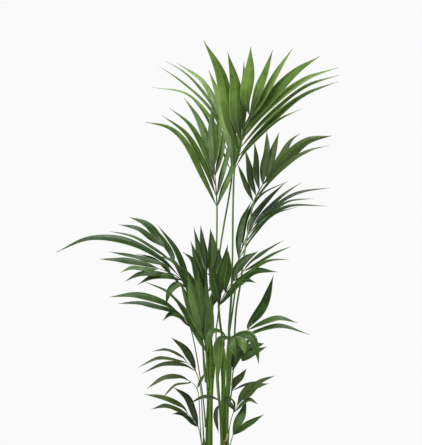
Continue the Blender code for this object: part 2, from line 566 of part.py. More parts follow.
def make_pot(collection, helpers):
    rim = POT_TOP_RADIUS + RIM_OVERHANG
    inner_top = POT_TOP_RADIUS - POT_WALL
    inner_foot = wall_radius(POT_FLOOR, POT_WALL)
    band = POT_HEIGHT - RIM_DEPTH
    soft = RIM_OVERHANG / 3
    outline = [
        (inner_top + soft, POT_HEIGHT), (rim - soft, POT_HEIGHT), (rim, POT_HEIGHT - soft),
        (rim, band + soft / 2), (rim - soft / 2, band), (POT_TOP_RADIUS, band),
        (wall_radius(FOOT_ROUNDING), FOOT_ROUNDING),
        (wall_radius(FOOT_ROUNDING * 0.3) - FOOT_ROUNDING * 0.3, FOOT_ROUNDING * 0.3),
        (POT_FOOT_RADIUS - FOOT_ROUNDING, 0), (0, 0), (0, POT_FLOOR),
        (inner_foot - FOOT_ROUNDING / 2, POT_FLOOR), (inner_foot, POT_FLOOR + FOOT_ROUNDING / 2),
        (inner_top, band), (inner_top, POT_HEIGHT - soft),
    ]
    pot = turned("pot", outline, collection, POT_PLASTIC)
    for hole in range(DRAIN_HOLES):
        middle = compass(360 * (hole + 0.5) / DRAIN_HOLES) * DRAIN_CIRCLE_RADIUS
        bm = bmesh.new()
        bmesh.ops.create_cone(bm, cap_ends=True, segments=12, radius1=DRAIN_HOLE_RADIUS,
                              radius2=DRAIN_HOLE_RADIUS, depth=4 * POT_FLOOR,
                              matrix=Matrix.Translation(middle))
        cut(pot, as_cutter(new_object(f"drain_cutter_{hole}", bm, helpers)))
    return pot


def mound(radius):
    """Height of the soil above its level at the wall: a low heap round the stems."""
    return MOUND_HEIGHT * math.exp(-2.2 * (radius / MOUND_RADIUS) ** 2)


def make_soil(collection, helpers):
    floor = POT_FLOOR + CLEARANCE
    foot = wall_radius(POT_FLOOR, POT_WALL) - FOOT_ROUNDING / 2 - 2 * CLEARANCE
    edge = wall_radius(SOIL_TOP, POT_WALL) - 2 * CLEARANCE
    rise = [edge * share for share in (1.0, 0.9, 0.78, 0.64, 0.5, 0.38, 0.27, 0.17, 0.08, 0.0)]
    outline = [(edge, SOIL_TOP)]
    outline += [(foot + FOOT_ROUNDING / 2, floor + FOOT_ROUNDING), (foot, floor), (0, floor)]
    outline = outline[::-1] + [(r, SOIL_TOP + mound(r)) for r in rise[1:]]
    soil = turned("soil", outline, collection, PEAT)
    for stem, (route, radii) in STEMS.items():
        cut(soil, as_cutter(make_stem(stem, route, radii, helpers, CLEARANCE)))
    return soil


# ---- stems --------------------------------------------------------------------------------------


def ring(bm, centre, across, up, corners):
    return [bm.verts.new(centre + across * a + up * b) for a, b in corners]


def bridge(bm, first, second, skip=()):
    count = len(first)
    for i in range(count):
        if i not in skip:
            j = (i + 1) % count
            bm.faces.new((first[i], first[j], second[j], second[i]))


def circle(radius, sides):
    turns = [2 * math.pi * i / sides for i in range(sides)]
    return [(radius * math.cos(t), radius * math.sin(t)) for t in turns]


def stem_route(route):
    """A stem's curve, with its foot planted straight down below the first point."""
    points = [in_place(point) for point in route]
    foot = points[0].copy()
    foot.z = SOIL_TOP - PLANTING_DEPTH
    return Route([foot, *points])


def stem_radius(radii, route, length):
    shares = [route.at_point[1:], [r * 0.01 * PALM_SCALE * STEM_THICKNESS for r in radii]]
    if length <= shares[0][0]:
        return shares[1][0]
    for (near, far), (a, b) in zip(zip(shares[0], shares[0][1:]), zip(shares[1], shares[1][1:])):
        if length <= far:
            return a + (b - a) * (length - near) / (far - near)
    return shares[1][-1]


def make_stem(name, points, radii, collection, extra=0.0):
    """One palm's rolled sheaths. With extra, the same shape grown by a clearance all round."""
    route = stem_route(points)
    lengths = [0.0]
    for near, far in zip(route.at_point, route.at_point[1:]):
        steps = max(1, round((far - near) / 0.03))
        lengths += [near + (far - near) * (i + 1) / steps for i in range(steps)]
    bm = bmesh.new()
    rings = []
    for i, length in enumerate(lengths):
        direction = route.direction(length)
        across = square_to(Vector((1, 0, 0)), direction)
        centre = route.point(length)
        if i == 0:
            centre = centre - direction * extra
        corners = circle(stem_radius(radii, route, length) + extra, STEM_SIDES)
        rings.append(ring(bm, centre, across, direction.cross(across), corners))
    for first, second in zip(rings, rings[1:]):
        bridge(bm, first, second)
    bm.faces.new(rings[0])
    bm.faces.new(rings[-1])
    if extra:
        return new_object(f"planting_hole_{name}", bm, collection)
    return new_object(f"stem_{name}", bm, collection, SHEATH)


def at_height(route, height):
    """Length along a rising route where it passes a height."""
    low, high = 0.0, route.length
    for _ in range(40):
        middle = (low + high) / 2
        low, high = (middle, high) if route.point(middle).z < height else (low, middle)
    return low


def seated(stem, seat, thickness):
    """The first points of a stalk on its stem, and the way its upper side looks there."""
    points, radii = STEMS[stem]
    route = stem_route(points)
    if seat is None:
        top = route.point(route.length)
        along = route.direction(route.length)
        start = top + along * CLEARANCE
        return [start, start + along * 2.5 * thickness], square_to(Vector((0, 1, 0)), along)
    height, side = seat
    outward = compass(side)
    held = []
    for rise in (0, 1.2):
        length = at_height(route, in_place((0, 0, height + rise)).z)
        reach = stem_radius(radii, route, length) + CLEARANCE + thickness / 2
        held.append(route.point(length) + outward * reach * (1 + 0.04 * rise))
    return held, -outward


# ---- leaves -------------------------------------------------------------------------------------

STALK_CORNERS = ((1, -0.5), (1, 0.5), (0, 1), (-1, 0.5), (-1, -0.5), (0, -1))
RIGHT_SIDE, LEFT_SIDE = 0, 3  # sides of the stalk's section, by their first corner


def blade_share(share):
    """A leaflet's width at a share of its length: wide below the middle, then a long taper."""
    return math.sin(math.pi * share**0.84) ** 1.1 if share < 1 else 0.0


def add_leaflet(bm, root, along, up, mirrored, leaflet, thickness):
    """Grows a leaflet out of four corners on the midrib's side."""
    width, turn, *points = leaflet
    width *= 0.01 * PALM_SCALE * LEAFLET_WIDTH
    middle = sum((corner.co for corner in root), Vector()) / 4
    route = Route([middle, *(in_place(point) for point in points)])
    lengths = [route.length * share for share in BLADE_STATIONS]
    directions = [route.direction(length, route.length * 0.03) for length in lengths]
    half = len(lengths) // 2
    front = square_to(Vector((0, -1, 0)), directions[half])
    lifted = front.cross(directions[half])
    if (route.points[-1] - middle).x < 0:
        lifted = -lifted
    turned_by = math.radians(turn)
    normal = front * math.cos(turned_by) + lifted * math.sin(turned_by)
    normals = carried(normal, directions[half::-1])[:0:-1] + carried(normal, directions[half:])
    first = directions[0].cross(normals[0]) if mirrored else normals[0].cross(directions[0])
    if first.dot(along) + normals[0].dot(up) < 0:
        normals = [-n for n in normals]
    previous = root
    for length, share, direction, n in zip(lengths, BLADE_STATIONS, directions, normals):
        wide = direction.cross(n) if mirrored else n.cross(direction)
        reach = max(width * blade_share(share), 0.0016) / 2
        deep = thickness / 2 * (1 if share < 1 else 0.6)
        centre = route.point(length)
        corners = ((-reach, -deep), (-reach, deep), (reach, deep), (reach, -deep))
        current = ring(bm, centre, wide, n, corners)
        bridge(bm, previous, current)
        previous = current
    bm.faces.new(previous)


def slots(count, most):
    """Which of the midrib's places a side's leaflets take, spread evenly over them."""
    if count == 1:
        return [most - 1]
    return [round(i * (most - 1) / (count - 1)) for i in range(count)]


def leaf_frame(spec):
    """The stalk and midrib of a leaf: its curve, where the midrib starts, and its upper side."""
    thickness = STALK_THICKNESS * spec["size"]
    held, upper = seated(spec["stem"], spec["seat"], thickness)
    stalk = [in_place(point) for point in spec["stalk"]]
    midrib = [in_place(point) for point in spec["midrib"]]
    route = Route([*held, *stalk, *midrib])
    return route, route.at_point[len(held) + len(stalk)], upper, thickness


def make_leaf(name, spec, collection):
    route, foot, upper, thickness = leaf_frame(spec)
    most = max(len(spec["right"]), len(spec["left"]))
    base = min(0.008, 0.55 * (route.length - foot) / most)
    pitch = (route.length - foot - base) / max(most - 1, 1)
    bare = max(5, round(foot / 0.05))
    lengths = [foot * i / bare for i in range(bare + 1)]
    for place in range(most):
        lengths += [foot + pitch * place + 0.001, foot + pitch * place + base]
    directions = [route.direction(length, 0.006) for length in lengths]
    ups = carried(upper, directions)
    wanted = square_to(compass(*spec["facing"]), directions[bare])
    side = directions[bare].cross(ups[bare])
    twist = math.atan2(wanted.dot(-side), wanted.dot(ups[bare]))

    bm = bmesh.new()
    rings = []
    for length, direction, up in zip(lengths, directions, ups):
        share = min(length / foot, 1)
        eased = share * share * (3 - 2 * share)
        up = (Matrix.Rotation(-twist * eased, 3, direction) @ up).normalized()
        beyond = max(0.0, (length - foot) / (route.length - foot))
        reach = max(thickness / 2 * (1 - 0.3 * share) * (1 - 0.6 * beyond), 0.0009)
        corners = [(a * reach, b * reach) for a, b in STALK_CORNERS]
        rings.append((ring(bm, route.point(length), direction.cross(up), up, corners), direction, up))

    takes = {RIGHT_SIDE: dict(zip(slots(len(spec["right"]), most), spec["right"])),
             LEFT_SIDE: dict(zip(slots(len(spec["left"]), most), spec["left"]))}
    for i, ((first, along, up), (second, _, _)) in enumerate(zip(rings, rings[1:])):
        place, leafy = divmod(i - bare, 2)
        grown = [s for s in takes if i > bare and leafy and place in takes[s]]
        bridge(bm, first, second, skip=grown)
        for s in grown:
            mirrored = s == LEFT_SIDE
            low, high = (s + 1, s) if mirrored else (s, s + 1)
            root = (first[low], first[high], second[high], second[low])
            add_leaflet(bm, root, along, up, mirrored, takes[s][place], BLADE_THICKNESS)
    bm.faces.new(rings[0][0])
    bm.faces.new(rings[-1][0])
    bmesh.ops.triangulate(bm, faces=bm.faces)
    return new_object(name, bm, collection, LEAF)


def make_old_stalk(collection):
    stem, seat, points, size = OLD_STALK
    thickness = STALK_THICKNESS * size
    held, upper = seated(stem, seat, thickness)
    route = Route([*held, *(in_place(point) for point in points)])
    lengths = [route.length * i / 6 for i in range(7)]
    directions = [route.direction(length) for length in lengths]
    bm = bmesh.new()
    rings = []
    for length, direction, up in zip(lengths, directions, carried(upper, directions)):
        corners = [(a * thickness / 2, b * thickness / 2) for a, b in STALK_CORNERS]
        rings.append(ring(bm, route.point(length), direction.cross(up), up, corners))
    for first, second in zip(rings, rings[1:]):
        bridge(bm, first, second)
    bm.faces.new(rings[0])
    bm.faces.new(rings[-1])
    return new_object("old_stalk", bm, collection, DRY_STALK)


# ---- build --------------------------------------------------------------------------------------


def main():
    clear_scene()
    palm = new_collection("potted_kentia_palm")
    helpers = new_collection("cutters", helper=True)
    make_pot(palm, helpers)
    make_soil(palm, helpers)
    for name, (points, radii) in STEMS.items():
        make_stem(name, points, radii, palm)
    make_old_stalk(palm)
    for name, spec in LEAVES.items():
        make_leaf(name, spec, palm)


main()
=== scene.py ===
"""The finish of the potted kentia palm: fine leaflets, stalks, sheathed stems, soil and pot.

Metres, +Z up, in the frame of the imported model. The tables and routes are the part's own, so
each leaf lies where its solid lies, with finer blades: folded along the middle, ribbed, thin.
"""

import math
import random

import bmesh
import bpy
from mathutils import Matrix, Vector, noise


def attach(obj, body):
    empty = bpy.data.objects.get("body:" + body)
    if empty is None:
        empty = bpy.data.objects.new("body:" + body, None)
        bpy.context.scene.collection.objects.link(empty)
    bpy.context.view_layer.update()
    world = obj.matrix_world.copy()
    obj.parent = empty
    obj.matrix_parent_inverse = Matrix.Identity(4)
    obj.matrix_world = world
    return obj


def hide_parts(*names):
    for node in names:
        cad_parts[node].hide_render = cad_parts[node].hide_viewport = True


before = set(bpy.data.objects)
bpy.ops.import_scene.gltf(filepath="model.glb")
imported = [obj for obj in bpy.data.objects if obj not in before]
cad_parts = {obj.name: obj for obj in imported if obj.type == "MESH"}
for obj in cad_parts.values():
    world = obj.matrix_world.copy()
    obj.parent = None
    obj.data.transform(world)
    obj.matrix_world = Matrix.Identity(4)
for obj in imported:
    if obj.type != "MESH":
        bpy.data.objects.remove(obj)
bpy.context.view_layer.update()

# ---- sizes, as in the part --------------------------------------------------------------------

POT_HEIGHT = 0.220
POT_TOP_RADIUS = 0.115
POT_FOOT_RADIUS = 0.088
POT_WALL = 0.0022
POT_FLOOR = 0.0032
RIM_DEPTH = 0.014
RIM_OVERHANG = 0.0045
FOOT_ROUNDING = 0.004
DRAIN_HOLES = 8
DRAIN_HOLE_RADIUS = 0.005
DRAIN_CIRCLE_RADIUS = 0.062
SOIL_TOP = POT_HEIGHT - 0.020
MOUND_HEIGHT = 0.034
MOUND_RADIUS = 0.085
STALK_THICKNESS = 0.0085
CLEARANCE = 0.0003
DEPTH_SPREAD = 2.0

BLADE_THICKNESS = 0.0004  # half of the solid's, and near a real leaflet's
BLADE_ALONG, BLADE_ACROSS = 26, 8
STALK_SIDES = 12

# Soft lamps: name, place, side and power in watts.
LAMPS = (
    ("key softbox", (-1.6, -3.4, 3.6), 2.6, 280),
    ("fill softbox", (2.8, -3.0, 1.6), 2.0, 24),
    ("top softbox", (0.4, 0.6, 3.8), 2.0, 105),
)
ROOM_LIGHT = 0.26

# The length over which a rolled sheath closes to its tip.
SHEATH_TIP = 0.035

# Loose lumps, chips and perlite grains on the soil.
CRUMBS = 520
CRUMB_REACH = 0.104  # as far from the middle as they lie

# A leaf's finish, where shaded is a darker copy that paints shade on leaves lying in shade; how light it is
# within it; and how strongly painted shade darkens its leaflets towards the foot.
FINISH = {
    "leaf_a": ("fresh", 0.60, 0.80), "leaf_b": ("fresh", 0.40, 0.60), "leaf_c": ("fresh", 0.34, 0.50),
    "leaf_d": ("shaded", 0.66, 0.40), "leaf_e": ("mature", 0.16, 0.50), "leaf_f": ("mature", 0.06, 0.50),
    "leaf_g": ("mature", 0.30, 0.40), "leaf_h": ("mature", 0.14, 0.50), "leaf_i": ("mature", 0.12, 0.60),
    "leaf_j": ("mature", 0.70, 0.10), "leaf_k": ("mature", 0.20, 0.60), "leaf_l": ("mature", 0.38, 0.30),
    "leaf_m": ("mature", 0.40, 0.50), "leaf_n": ("shaded", 0.42, 0.30), "leaf_o": ("shaded", 0.48, 0.20),
    "leaf_p": ("shaded", 0.40, 0.30), "leaf_q": ("shaded", 0.56, 0.30), "leaf_r": ("mature", 0.30, 0.40),
    "leaf_s": ("mature", 0.20, 0.40), "leaf_t": ("shaded", 0.50, 0.30), "leaf_u": ("shaded", 0.36, 0.20),
}


# ---- the palms ------------------------------------------------------------------------------
#
# Plant positions are in centimetres: x to the right, y to the back, z up. Heights count from
# SOIL_DATUM below the soil's surface, so the plants rise and sink with the soil. The tables
# describe the clump half pressed, as for a herbarium sheet. It opens to the front and back
# with height, from nothing at OPENING_FROM to the whole of DEPTH_SPREAD at OPENING_TO. Their
# x and z are as seen from VIEW_DISTANCE in front, with the eye at VIEW_POINT.

SOIL_DATUM = 20.0
OPENING_FROM, OPENING_TO = 25.0, 100.0
VIEW_DISTANCE = 1000.0
VIEW_POINT = (-2.0, 99.5)  # x and z

# A stem is its route above the soil and its radius at each point of the route.
STEMS = {
    "left": (
        ((-2.65, 0, 22), (-2.65, 0, 31), (-2.4, 0, 40), (-2.35, 0, 46), (-2.15, 0.1, 52), (-2.1, 0.2, 59)),
        (1.2, 1.15, 1.0, 1.25, 1.65, 1.3),
    ),
    "right": (
        ((2.85, 0, 22), (2.9, 0, 32), (3.2, 0, 40), (3.85, 0, 46), (4.0, 0, 52), (4.1, 0, 59)),
        (1.05, 0.95, 0.95, 0.78, 1.0, 0.9),
    ),
    "back": (
        ((2.0, 5, 22), (2.05, 5.1, 36), (2.15, 5.2, 46), (2.1, 5.0, 52), (2.1, 5.0, 58)),
        (0.8, 0.7, 0.7, 0.95, 0.8),
    ),
    "slender": (
        ((1.65, -3.2, 22), (1.25, -3.4, 34), (0.2, -3.7, 46), (-0.1, -3.9, 53)),
        (0.5, 0.42, 0.5, 0.55),
    ),
    "small_left": (((-4.2, -4, 22), (-4.5, -4.3, 28)), (0.75, 0.5)),
    "small_right": (((3.4, -4.6, 22), (3.8, -4.9, 26.5)), (0.75, 0.5)),
}

# The dry foot of an old stalk: its stem, seat, route and thickness beside a full-grown stalk.
OLD_STALK = ("right", (24.8, 250), ((3.2, -2.2, 26.8), (3.5, -2.7, 28.8)), 0.95)

# A leaf is: the stem it grows on; its seat, as height and side of the stem in degrees (0 is
# right, 90 back, 180 left, 270 front), or None on top of the stem; size, the thickness of its
# stalk beside a full-grown one; the way the upper side of the midrib faces, in degrees round
# and up; the stalk's route; the midrib's route; and its leaflets, the lowest first, on the
# right and on the left of the midrib as seen along it from its foot with the upper side up.
# A leaflet is: width; turn, in degrees, where 0 shows the blade flat to the front of the plant
# and 90 lays its upper side up; and its route, which ends at the tip.
LEAVES = {
    "leaf_a": dict(
        stem="right", seat=None, size=1.0, facing=(270, 12),
        stalk=((4.0, -0.3, 63), (4.8, -1.2, 75), (5.2, -2.4, 90), (5.4, -3.9, 106)),
        midrib=((5.9, -5.0, 117.5), (7.2, -5.6, 124), (9, -6.4, 130.5), (11, -7.6, 136)),
        right=(
            (3.0, 62, (9.6, -5.2, 124), (20, -5.8, 133.8), (28.5, -6.4, 137.7)),
            (3.4, 64, (14, -5.8, 130), (28, -7.0, 142), (40.5, -7.8, 146.8)),
            (3.5, 60, (15, -6.8, 133.5), (29, -8.2, 145.2), (41, -9.2, 149)),
            (3.5, 60, (16, -7.8, 137.6), (29, -9.8, 147.7), (40.5, -11.3, 151.5)),
            (4.1, 34, (17, -8.8, 140.8), (26, -11, 150), (34.5, -13, 155.3)),
            (3.6, 40, (15.4, -9.8, 142.5), (20.4, -11.4, 151), (25.3, -12.6, 157.8)),
            (3.4, 40, (13.6, -10.8, 144), (16.2, -12, 150.5), (18.7, -13.2, 157.4)),
        ),
        left=(
            (3.8, 16, (4.2, -3.4, 129), (0.6, -2.2, 142), (-2.8, -1.6, 150.7)),
            (4.7, 8, (4.9, -6.4, 131), (1.5, -7.8, 149), (-4.5, -9.4, 160.5)),
            (4.4, 14, (6.5, -7.6, 135), (6.1, -8.8, 146), (3.6, -9.8, 156.5)),
            (3.6, 22, (8.2, -5.4, 138.6), (9.2, -4.8, 146), (9.0, -4.2, 152.6)),
            (4.1, 14, (9.4, -8.8, 140.5), (10.8, -9.8, 150), (11.3, -10.8, 158.5)),
        ),
    ),
    "leaf_b": dict(
        stem="back", seat=None, size=0.95, facing=(270, 15),
        stalk=((1.6, 5.4, 62), (0.6, 6.1, 71), (0.8, 6.6, 88), (2.2, 7.4, 98), (3.8, 8.2, 107)),
        midrib=((5.0, 9, 116), (4.3, 9.6, 123), (2.4, 10.4, 130), (0.6, 11.2, 135)),
        right=(
            (2.4, 20, (6.8, 9.8, 124), (7.8, 10.4, 130), (8.4, 11, 138)),
            (2.6, 40, (7.8, 11, 128), (12.6, 12.4, 137), (16.4, 13.4, 142.5)),
            (2.8, 22, (6.4, 12.8, 137), (8.8, 14, 146), (9.0, 15.2, 153.6)),
            (3.0, 12, (2.0, 13.4, 139), (2.0, 14.8, 144), (0.4, 16, 150)),
        ),
        left=(
            (2.4, 72, (0.6, 9, 127), (-4, 8.4, 136), (-9.5, 8, 142.5)),
            (2.6, 72, (-1.4, 9.8, 134), (-10, 9.4, 142.8), (-21.5, 9, 144.8)),
            (2.6, 78, (-2.0, 11.2, 138), (-11, 11.6, 146.4), (-19.5, 11.6, 152)),
            (2.8, 72, (-2.4, 12.8, 141), (-10, 14, 149.4), (-17, 14.8, 153.6)),
            (3.4, 42, (-1.4, 14.2, 142), (-5.2, 15.8, 147.8), (-13.5, 17.4, 153)),
        ),
    ),
    "leaf_c": dict(
        stem="left", seat=None, size=0.9, facing=(270, 15),
        stalk=((-2.0, 0.6, 64), (-0.9, 1.4, 78), (-0.2, 2, 90)),
        midrib=((0, 2.2, 104.6), (-0.2, 2.2, 109), (-0.6, 2.0, 114), (-0.9, 1.8, 119)),
        right=(
            (2.3, 24, (1.9, 2.8, 110.5), (4.3, 3.4, 116), (6.5, 4, 124)),
            (2.2, 26, (1.7, 3.6, 116.5), (3.3, 4.4, 122), (5.0, 5.2, 130)),
            (2.3, 26, (0.9, 4.6, 121.5), (2.1, 5.6, 128), (3.4, 6.6, 136)),
            (2.6, 22, (0.0, 5.2, 126), (0.6, 6.4, 132), (1.4, 7.6, 139.6)),
        ),
        left=(
            (2.7, 34, (-3.8, 1.4, 113.6), (-10.4, -0.4, 126.6), (-15.9, -1.8, 131.4), (-24, -3.4, 133.2)),
            (2.5, 44, (-3.9, 2.2, 118.5), (-10.2, 1.8, 129.4), (-18.5, 0.8, 135.5)),
            (2.5, 42, (-3.6, 3.4, 122.5), (-8.8, 3.8, 132.2), (-16, 3.8, 138)),
            (3.2, 22, (-3.0, 4.8, 126.5), (-6.2, 6, 134.5), (-11, 7.2, 141.3)),
            (3.0, 14, (-1.2, 3.2, 124.5), (-1.7, 4.4, 131), (-1.6, 5.6, 139)),
        ),
    ),
    "leaf_d": dict(
        stem="right", seat=(50, 0), size=0.95, facing=(270, 30),
        stalk=((5.8, 0.4, 60), (6.4, 1.2, 70), (8.0, 2.6, 80), (9.3, 3.8, 90), (10.8, 4.8, 98.5)),
        midrib=((12.2, 5.6, 106), (13.3, 5.9, 108.6), (14.8, 6.2, 111.4), (16.8, 6.7, 114.4)),
        right=(
            (3.0, 78, (17, 4.4, 113), (25.6, 3.0, 120.8), (34, 1.8, 124.8)),
            (3.0, 74, (21, 5.2, 117.8), (29.4, 4.4, 123.4), (37.8, 3.6, 125.4)),
            (4.0, 16, (22.4, 6.4, 120.6), (30, 6.0, 127), (38.5, 5.4, 128.6)),
            (3.2, 46, (21.6, 8.2, 122.8), (24.6, 8.8, 127.2), (28, 9.4, 129.5)),
        ),
        left=(
            (2.8, 48, (10.5, 6.2, 111), (8.5, 6.6, 115.8), (6.8, 7, 119.4)),
            (3.2, 38, (11.7, 7, 113.5), (11.1, 7.6, 118.4), (9.3, 8.2, 124.4)),
            (3.2, 36, (13.5, 7.8, 116), (13.5, 8.6, 120.8), (12.5, 9.4, 126.7)),
            (3.4, 32, (15.4, 8.6, 118.6), (16.4, 9.4, 123.8), (16.7, 10.4, 130.4)),
            (3.2, 40, (17.9, 9, 121.2), (19.1, 9.8, 125.2), (20.8, 10.8, 129.9)),
        ),
    ),
    "leaf_e": dict(
        stem="back", seat=(44, 0), size=0.9, facing=(270, 30),
        stalk=((3.4, 6.6, 56), (5.2, 7.2, 70), (6.5, 7.8, 80)),
        midrib=((7.2, 8.2, 87), (8.6, 8.8, 91.6), (10.4, 9.6, 95.6), (12.6, 10.4, 99)),
        right=(
            (3.0, 74, (11.4, 8.0, 94.4), (19, 7.4, 102.4), (27, 6.8, 104.8)),
            (2.8, 76, (13.6, 9.2, 98.4), (23, 9.2, 105.2), (37, 8.8, 105.1)),
            (2.8, 76, (15.6, 10.8, 101.6), (23.6, 11.4, 106.8), (32.5, 11.6, 107.6)),
            (3.2, 68, (16.4, 12.6, 103.2), (26, 14, 109.6), (38, 14.6, 111.2)),
        ),
        left=(
            (3.0, 36, (7.2, 9, 94), (8.5, 9.6, 100.5), (11.5, 10.4, 106.6)),
            (2.8, 62, (9.6, 11, 101), (14, 12, 108.6), (24, 13, 113.5)),
            (3.0, 40, (12, 13.2, 101.6), (17, 14.6, 107.8), (23, 15.6, 113)),
            (3.0, 60, (16, 14.4, 103.6), (21.6, 16, 108.8), (28.3, 17.2, 113)),
        ),
    ),
    "leaf_f": dict(
        stem="left", seat=(49, 180), size=0.95, facing=(270, 38),
        stalk=((-5.2, -0.4, 62), (-7.4, -0.9, 70)),
        midrib=((-9.4, -1.4, 75.4), (-12.2, -2, 81.4), (-15.2, -2.6, 87.4), (-17.8, -3, 91.6)),
        right=(
            (2.9, 48, (-10.2, -0.4, 82), (-13.4, 0.4, 90.4), (-20, 1, 98.8)),
            (2.8, 46, (-15, -0.8, 89), (-19.4, -0.4, 95.4), (-26, 0.2, 99.6)),
            (3.3, 42, (-19.2, -1, 94.4), (-23.4, -0.6, 99.2), (-29.5, -0.2, 101.4)),
        ),
        left=(
            (2.6, 68, (-15.6, -3, 82.8), (-21, -4, 87.6), (-27, -5, 89)),
            (3.4, 62, (-18, -4.2, 87.2), (-30, -6.2, 93.6), (-43, -8.2, 94.4), (-54, -9.8, 89.5)),
            (3.0, 66, (-20, -3.8, 90.6), (-28, -4.4, 95.2), (-36, -5, 96.6)),
            (3.0, 56, (-20.6, -2.6, 93.4), (-26, -2.6, 97.6), (-33, -2.6, 98.9)),
        ),
    ),
    "leaf_g": dict(
        stem="left", seat=(46, 215), size=0.9, facing=(270, 45),
        stalk=((-5.0, -2.6, 60), (-7.0, -4.2, 70)),
        midrib=((-9.2, -5.6, 76.6), (-12, -6.6, 80.4), (-16, -7.4, 82.8), (-20, -8, 84.2)),
        right=(
            (2.9, 50, (-11.8, -6.0, 82.6), (-14.4, -6.2, 86.6), (-19.5, -6.2, 88.4)),
            (3.2, 64, (-17, -6.4, 85.2), (-26, -6.8, 88.2), (-36.5, -7, 89.8)),
            (3.2, 54, (-23.6, -8.2, 85.8), (-31, -8.8, 87.2), (-39.5, -9.4, 87.3)),
        ),
        left=(
            (3.0, 44, (-12.6, -7.6, 79.4), (-15.8, -8.8, 77), (-17.3, -9.6, 71.5)),
            (3.0, 58, (-16.4, -8.8, 82), (-21.6, -9.8, 81.6), (-26.8, -10.6, 78.6)),
            (3.2, 62, (-20.4, -9.6, 83), (-26, -10.8, 82.6), (-31, -11.8, 79.7)),
            (2.9, 66, (-23.6, -9.6, 84.2), (-28.4, -10.8, 84.6), (-32.4, -11.8, 82.8)),
        ),
    ),
    "leaf_h": dict(
        stem="left", seat=(31, 215), size=0.7, facing=(270, 45),
        stalk=((-4.6, -2.2, 40), (-6.0, -4.2, 50), (-7.6, -7.0, 59)),
        midrib=((-9.0, -9.4, 64.4), (-10.8, -10.8, 67.4), (-13, -12, 69.6)),
        right=(
            (2.8, 72, (-11.2, -10, 70.6), (-16.4, -11.6, 76.6), (-24, -13.2, 79.6)),
            (3.6, 56, (-18, -12.4, 73.2), (-27, -13.4, 75.6), (-36, -14.4, 74.6)),
        ),
        left=(
            (2.8, 54, (-12.6, -12.4, 68.6), (-15.6, -13.6, 69), (-18.2, -14.8, 66.6)),
            (3.6, 54, (-18, -14.4, 71.4), (-25.6, -15.8, 73), (-33, -17, 72.4)),
        ),
    ),
    "leaf_i": dict(
        stem="left", seat=(48, 292), size=0.8, facing=(270, 15),
        stalk=((-1.7, -2.5, 57), (-2.0, -3.0, 65)),
        midrib=((-2.4, -3.4, 70), (-2.8, -3.6, 74.6), (-3.2, -3.6, 79), (-3.4, -3.4, 83)),
        right=(
            (4.0, 22, (-0.4, -4.4, 75.6), (1.6, -4.8, 82), (3.6, -5, 92.3)),
            (4.2, 20, (-1.2, -3.8, 79), (0.2, -3.4, 84.6), (0.6, -3, 91)),
            (4.0, 24, (-2.2, -3, 82), (-1.6, -2.4, 88.6), (-2.2, -1.6, 97.5)),
        ),
        left=(
            (3.0, 30, (-5.8, -4.1, 76), (-10.4, -3.7, 83), (-15.4, -3.9, 86.4)),
            (3.4, 36, (-5.4, -4.4, 79.6), (-8.0, -4.2, 87), (-11.4, -4.4, 89.6)),
            (3.4, 40, (-5.2, -3.6, 83), (-7, -3, 88.4), (-8.8, -2.6, 93.3)),
            (3.0, 44, (-4.8, -2.4, 86), (-6.2, -1.6, 92), (-7.8, -1.2, 98)),
            (3.2, 34, (-3.9, -1.8, 88), (-4.7, -0.8, 93.4), (-5.5, -0.2, 98.6)),
        ),
    ),
    "leaf_j": dict(
        stem="left", seat=(44, 250), size=0.85, facing=(270, 30),
        stalk=((-3.3, -3.4, 51),),
        midrib=((-3.7, -4.8, 56), (-4.2, -6.2, 60), (-5.0, -7.4, 64)),
        right=(
            (3.6, 12, (-3.0, -6.4, 61.6), (-2.7, -7.6, 67.6), (-2.0, -8.4, 76)),
            (3.8, 15, (-3.8, -7.7, 66), (-3.8, -8.8, 72), (-3.8, -9.8, 80)),
            (3.8, 20, (-5.0, -8.9, 69), (-5.8, -9.8, 74.6), (-6.2, -10.8, 83)),
        ),
        left=(
            (3.2, 33, (-6.0, -6.4, 61.6), (-10.0, -7.4, 69), (-15.5, -8.2, 76)),
            (3.6, 26, (-6.6, -8.4, 66.6), (-9.4, -9.8, 73), (-12.4, -11.2, 79.6)),
            (3.8, 20, (-6.3, -10, 69.4), (-8.0, -11.2, 75), (-9.8, -12.4, 82)),
        ),
    ),
    "leaf_k": dict(
        stem="slender", seat=None, size=0.7, facing=(270, 42),
        stalk=((-0.2, -4.2, 54), (-0.3, -4.9, 63), (0.2, -5.3, 67)),
        midrib=((0.8, -5.8, 71.6), (2.8, -6.8, 76), (5.6, -7.8, 80), (9, -8.8, 83.4)),
        right=(
            (3.2, 50, (4.0, -8, 76.2), (8.6, -10.4, 80.4), (13.2, -12.4, 79.4)),
            (3.2, 54, (6.4, -9.2, 78.8), (12.6, -11.6, 83.4), (20.2, -13.6, 83)),
            (2.8, 72, (9.8, -10, 82.8), (17, -11.8, 87), (24, -13.2, 87.2)),
            (3.0, 64, (12.4, -9.6, 85.6), (18.4, -10.4, 89.2), (24.7, -11.2, 91.5)),
        ),
        left=(
            (3.8, 16, (0.1, -5.9, 76), (-0.8, -6, 80), (-2.2, -6.2, 86)),
            (3.8, 18, (2.5, -6.8, 80), (3.2, -6.9, 84.4), (3.9, -7, 90)),
            (3.4, 40, (6.2, -7.2, 83.6), (9.4, -7.2, 87.4), (13.9, -7.2, 89.9)),
            (2.6, 74, (11, -8, 86.4), (16, -8, 90.2), (22.3, -8, 93.6)),
        ),
    ),
    "leaf_l": dict(
        stem="right", seat=(47, 285), size=0.8, facing=(270, 45),
        stalk=((4.7, -2.8, 54.5),),
        midrib=((6.3, -3.6, 59.4), (8.4, -5, 62), (10.6, -6.4, 63.8)),
        right=(
            (2.8, 70, (12.6, -7, 63.2), (21, -9.8, 65.2), (31, -12.4, 62)),
            (3.0, 62, (14.4, -8.2, 66), (20.6, -9.6, 67.8), (27, -10.8, 65.9)),
        ),
        left=(
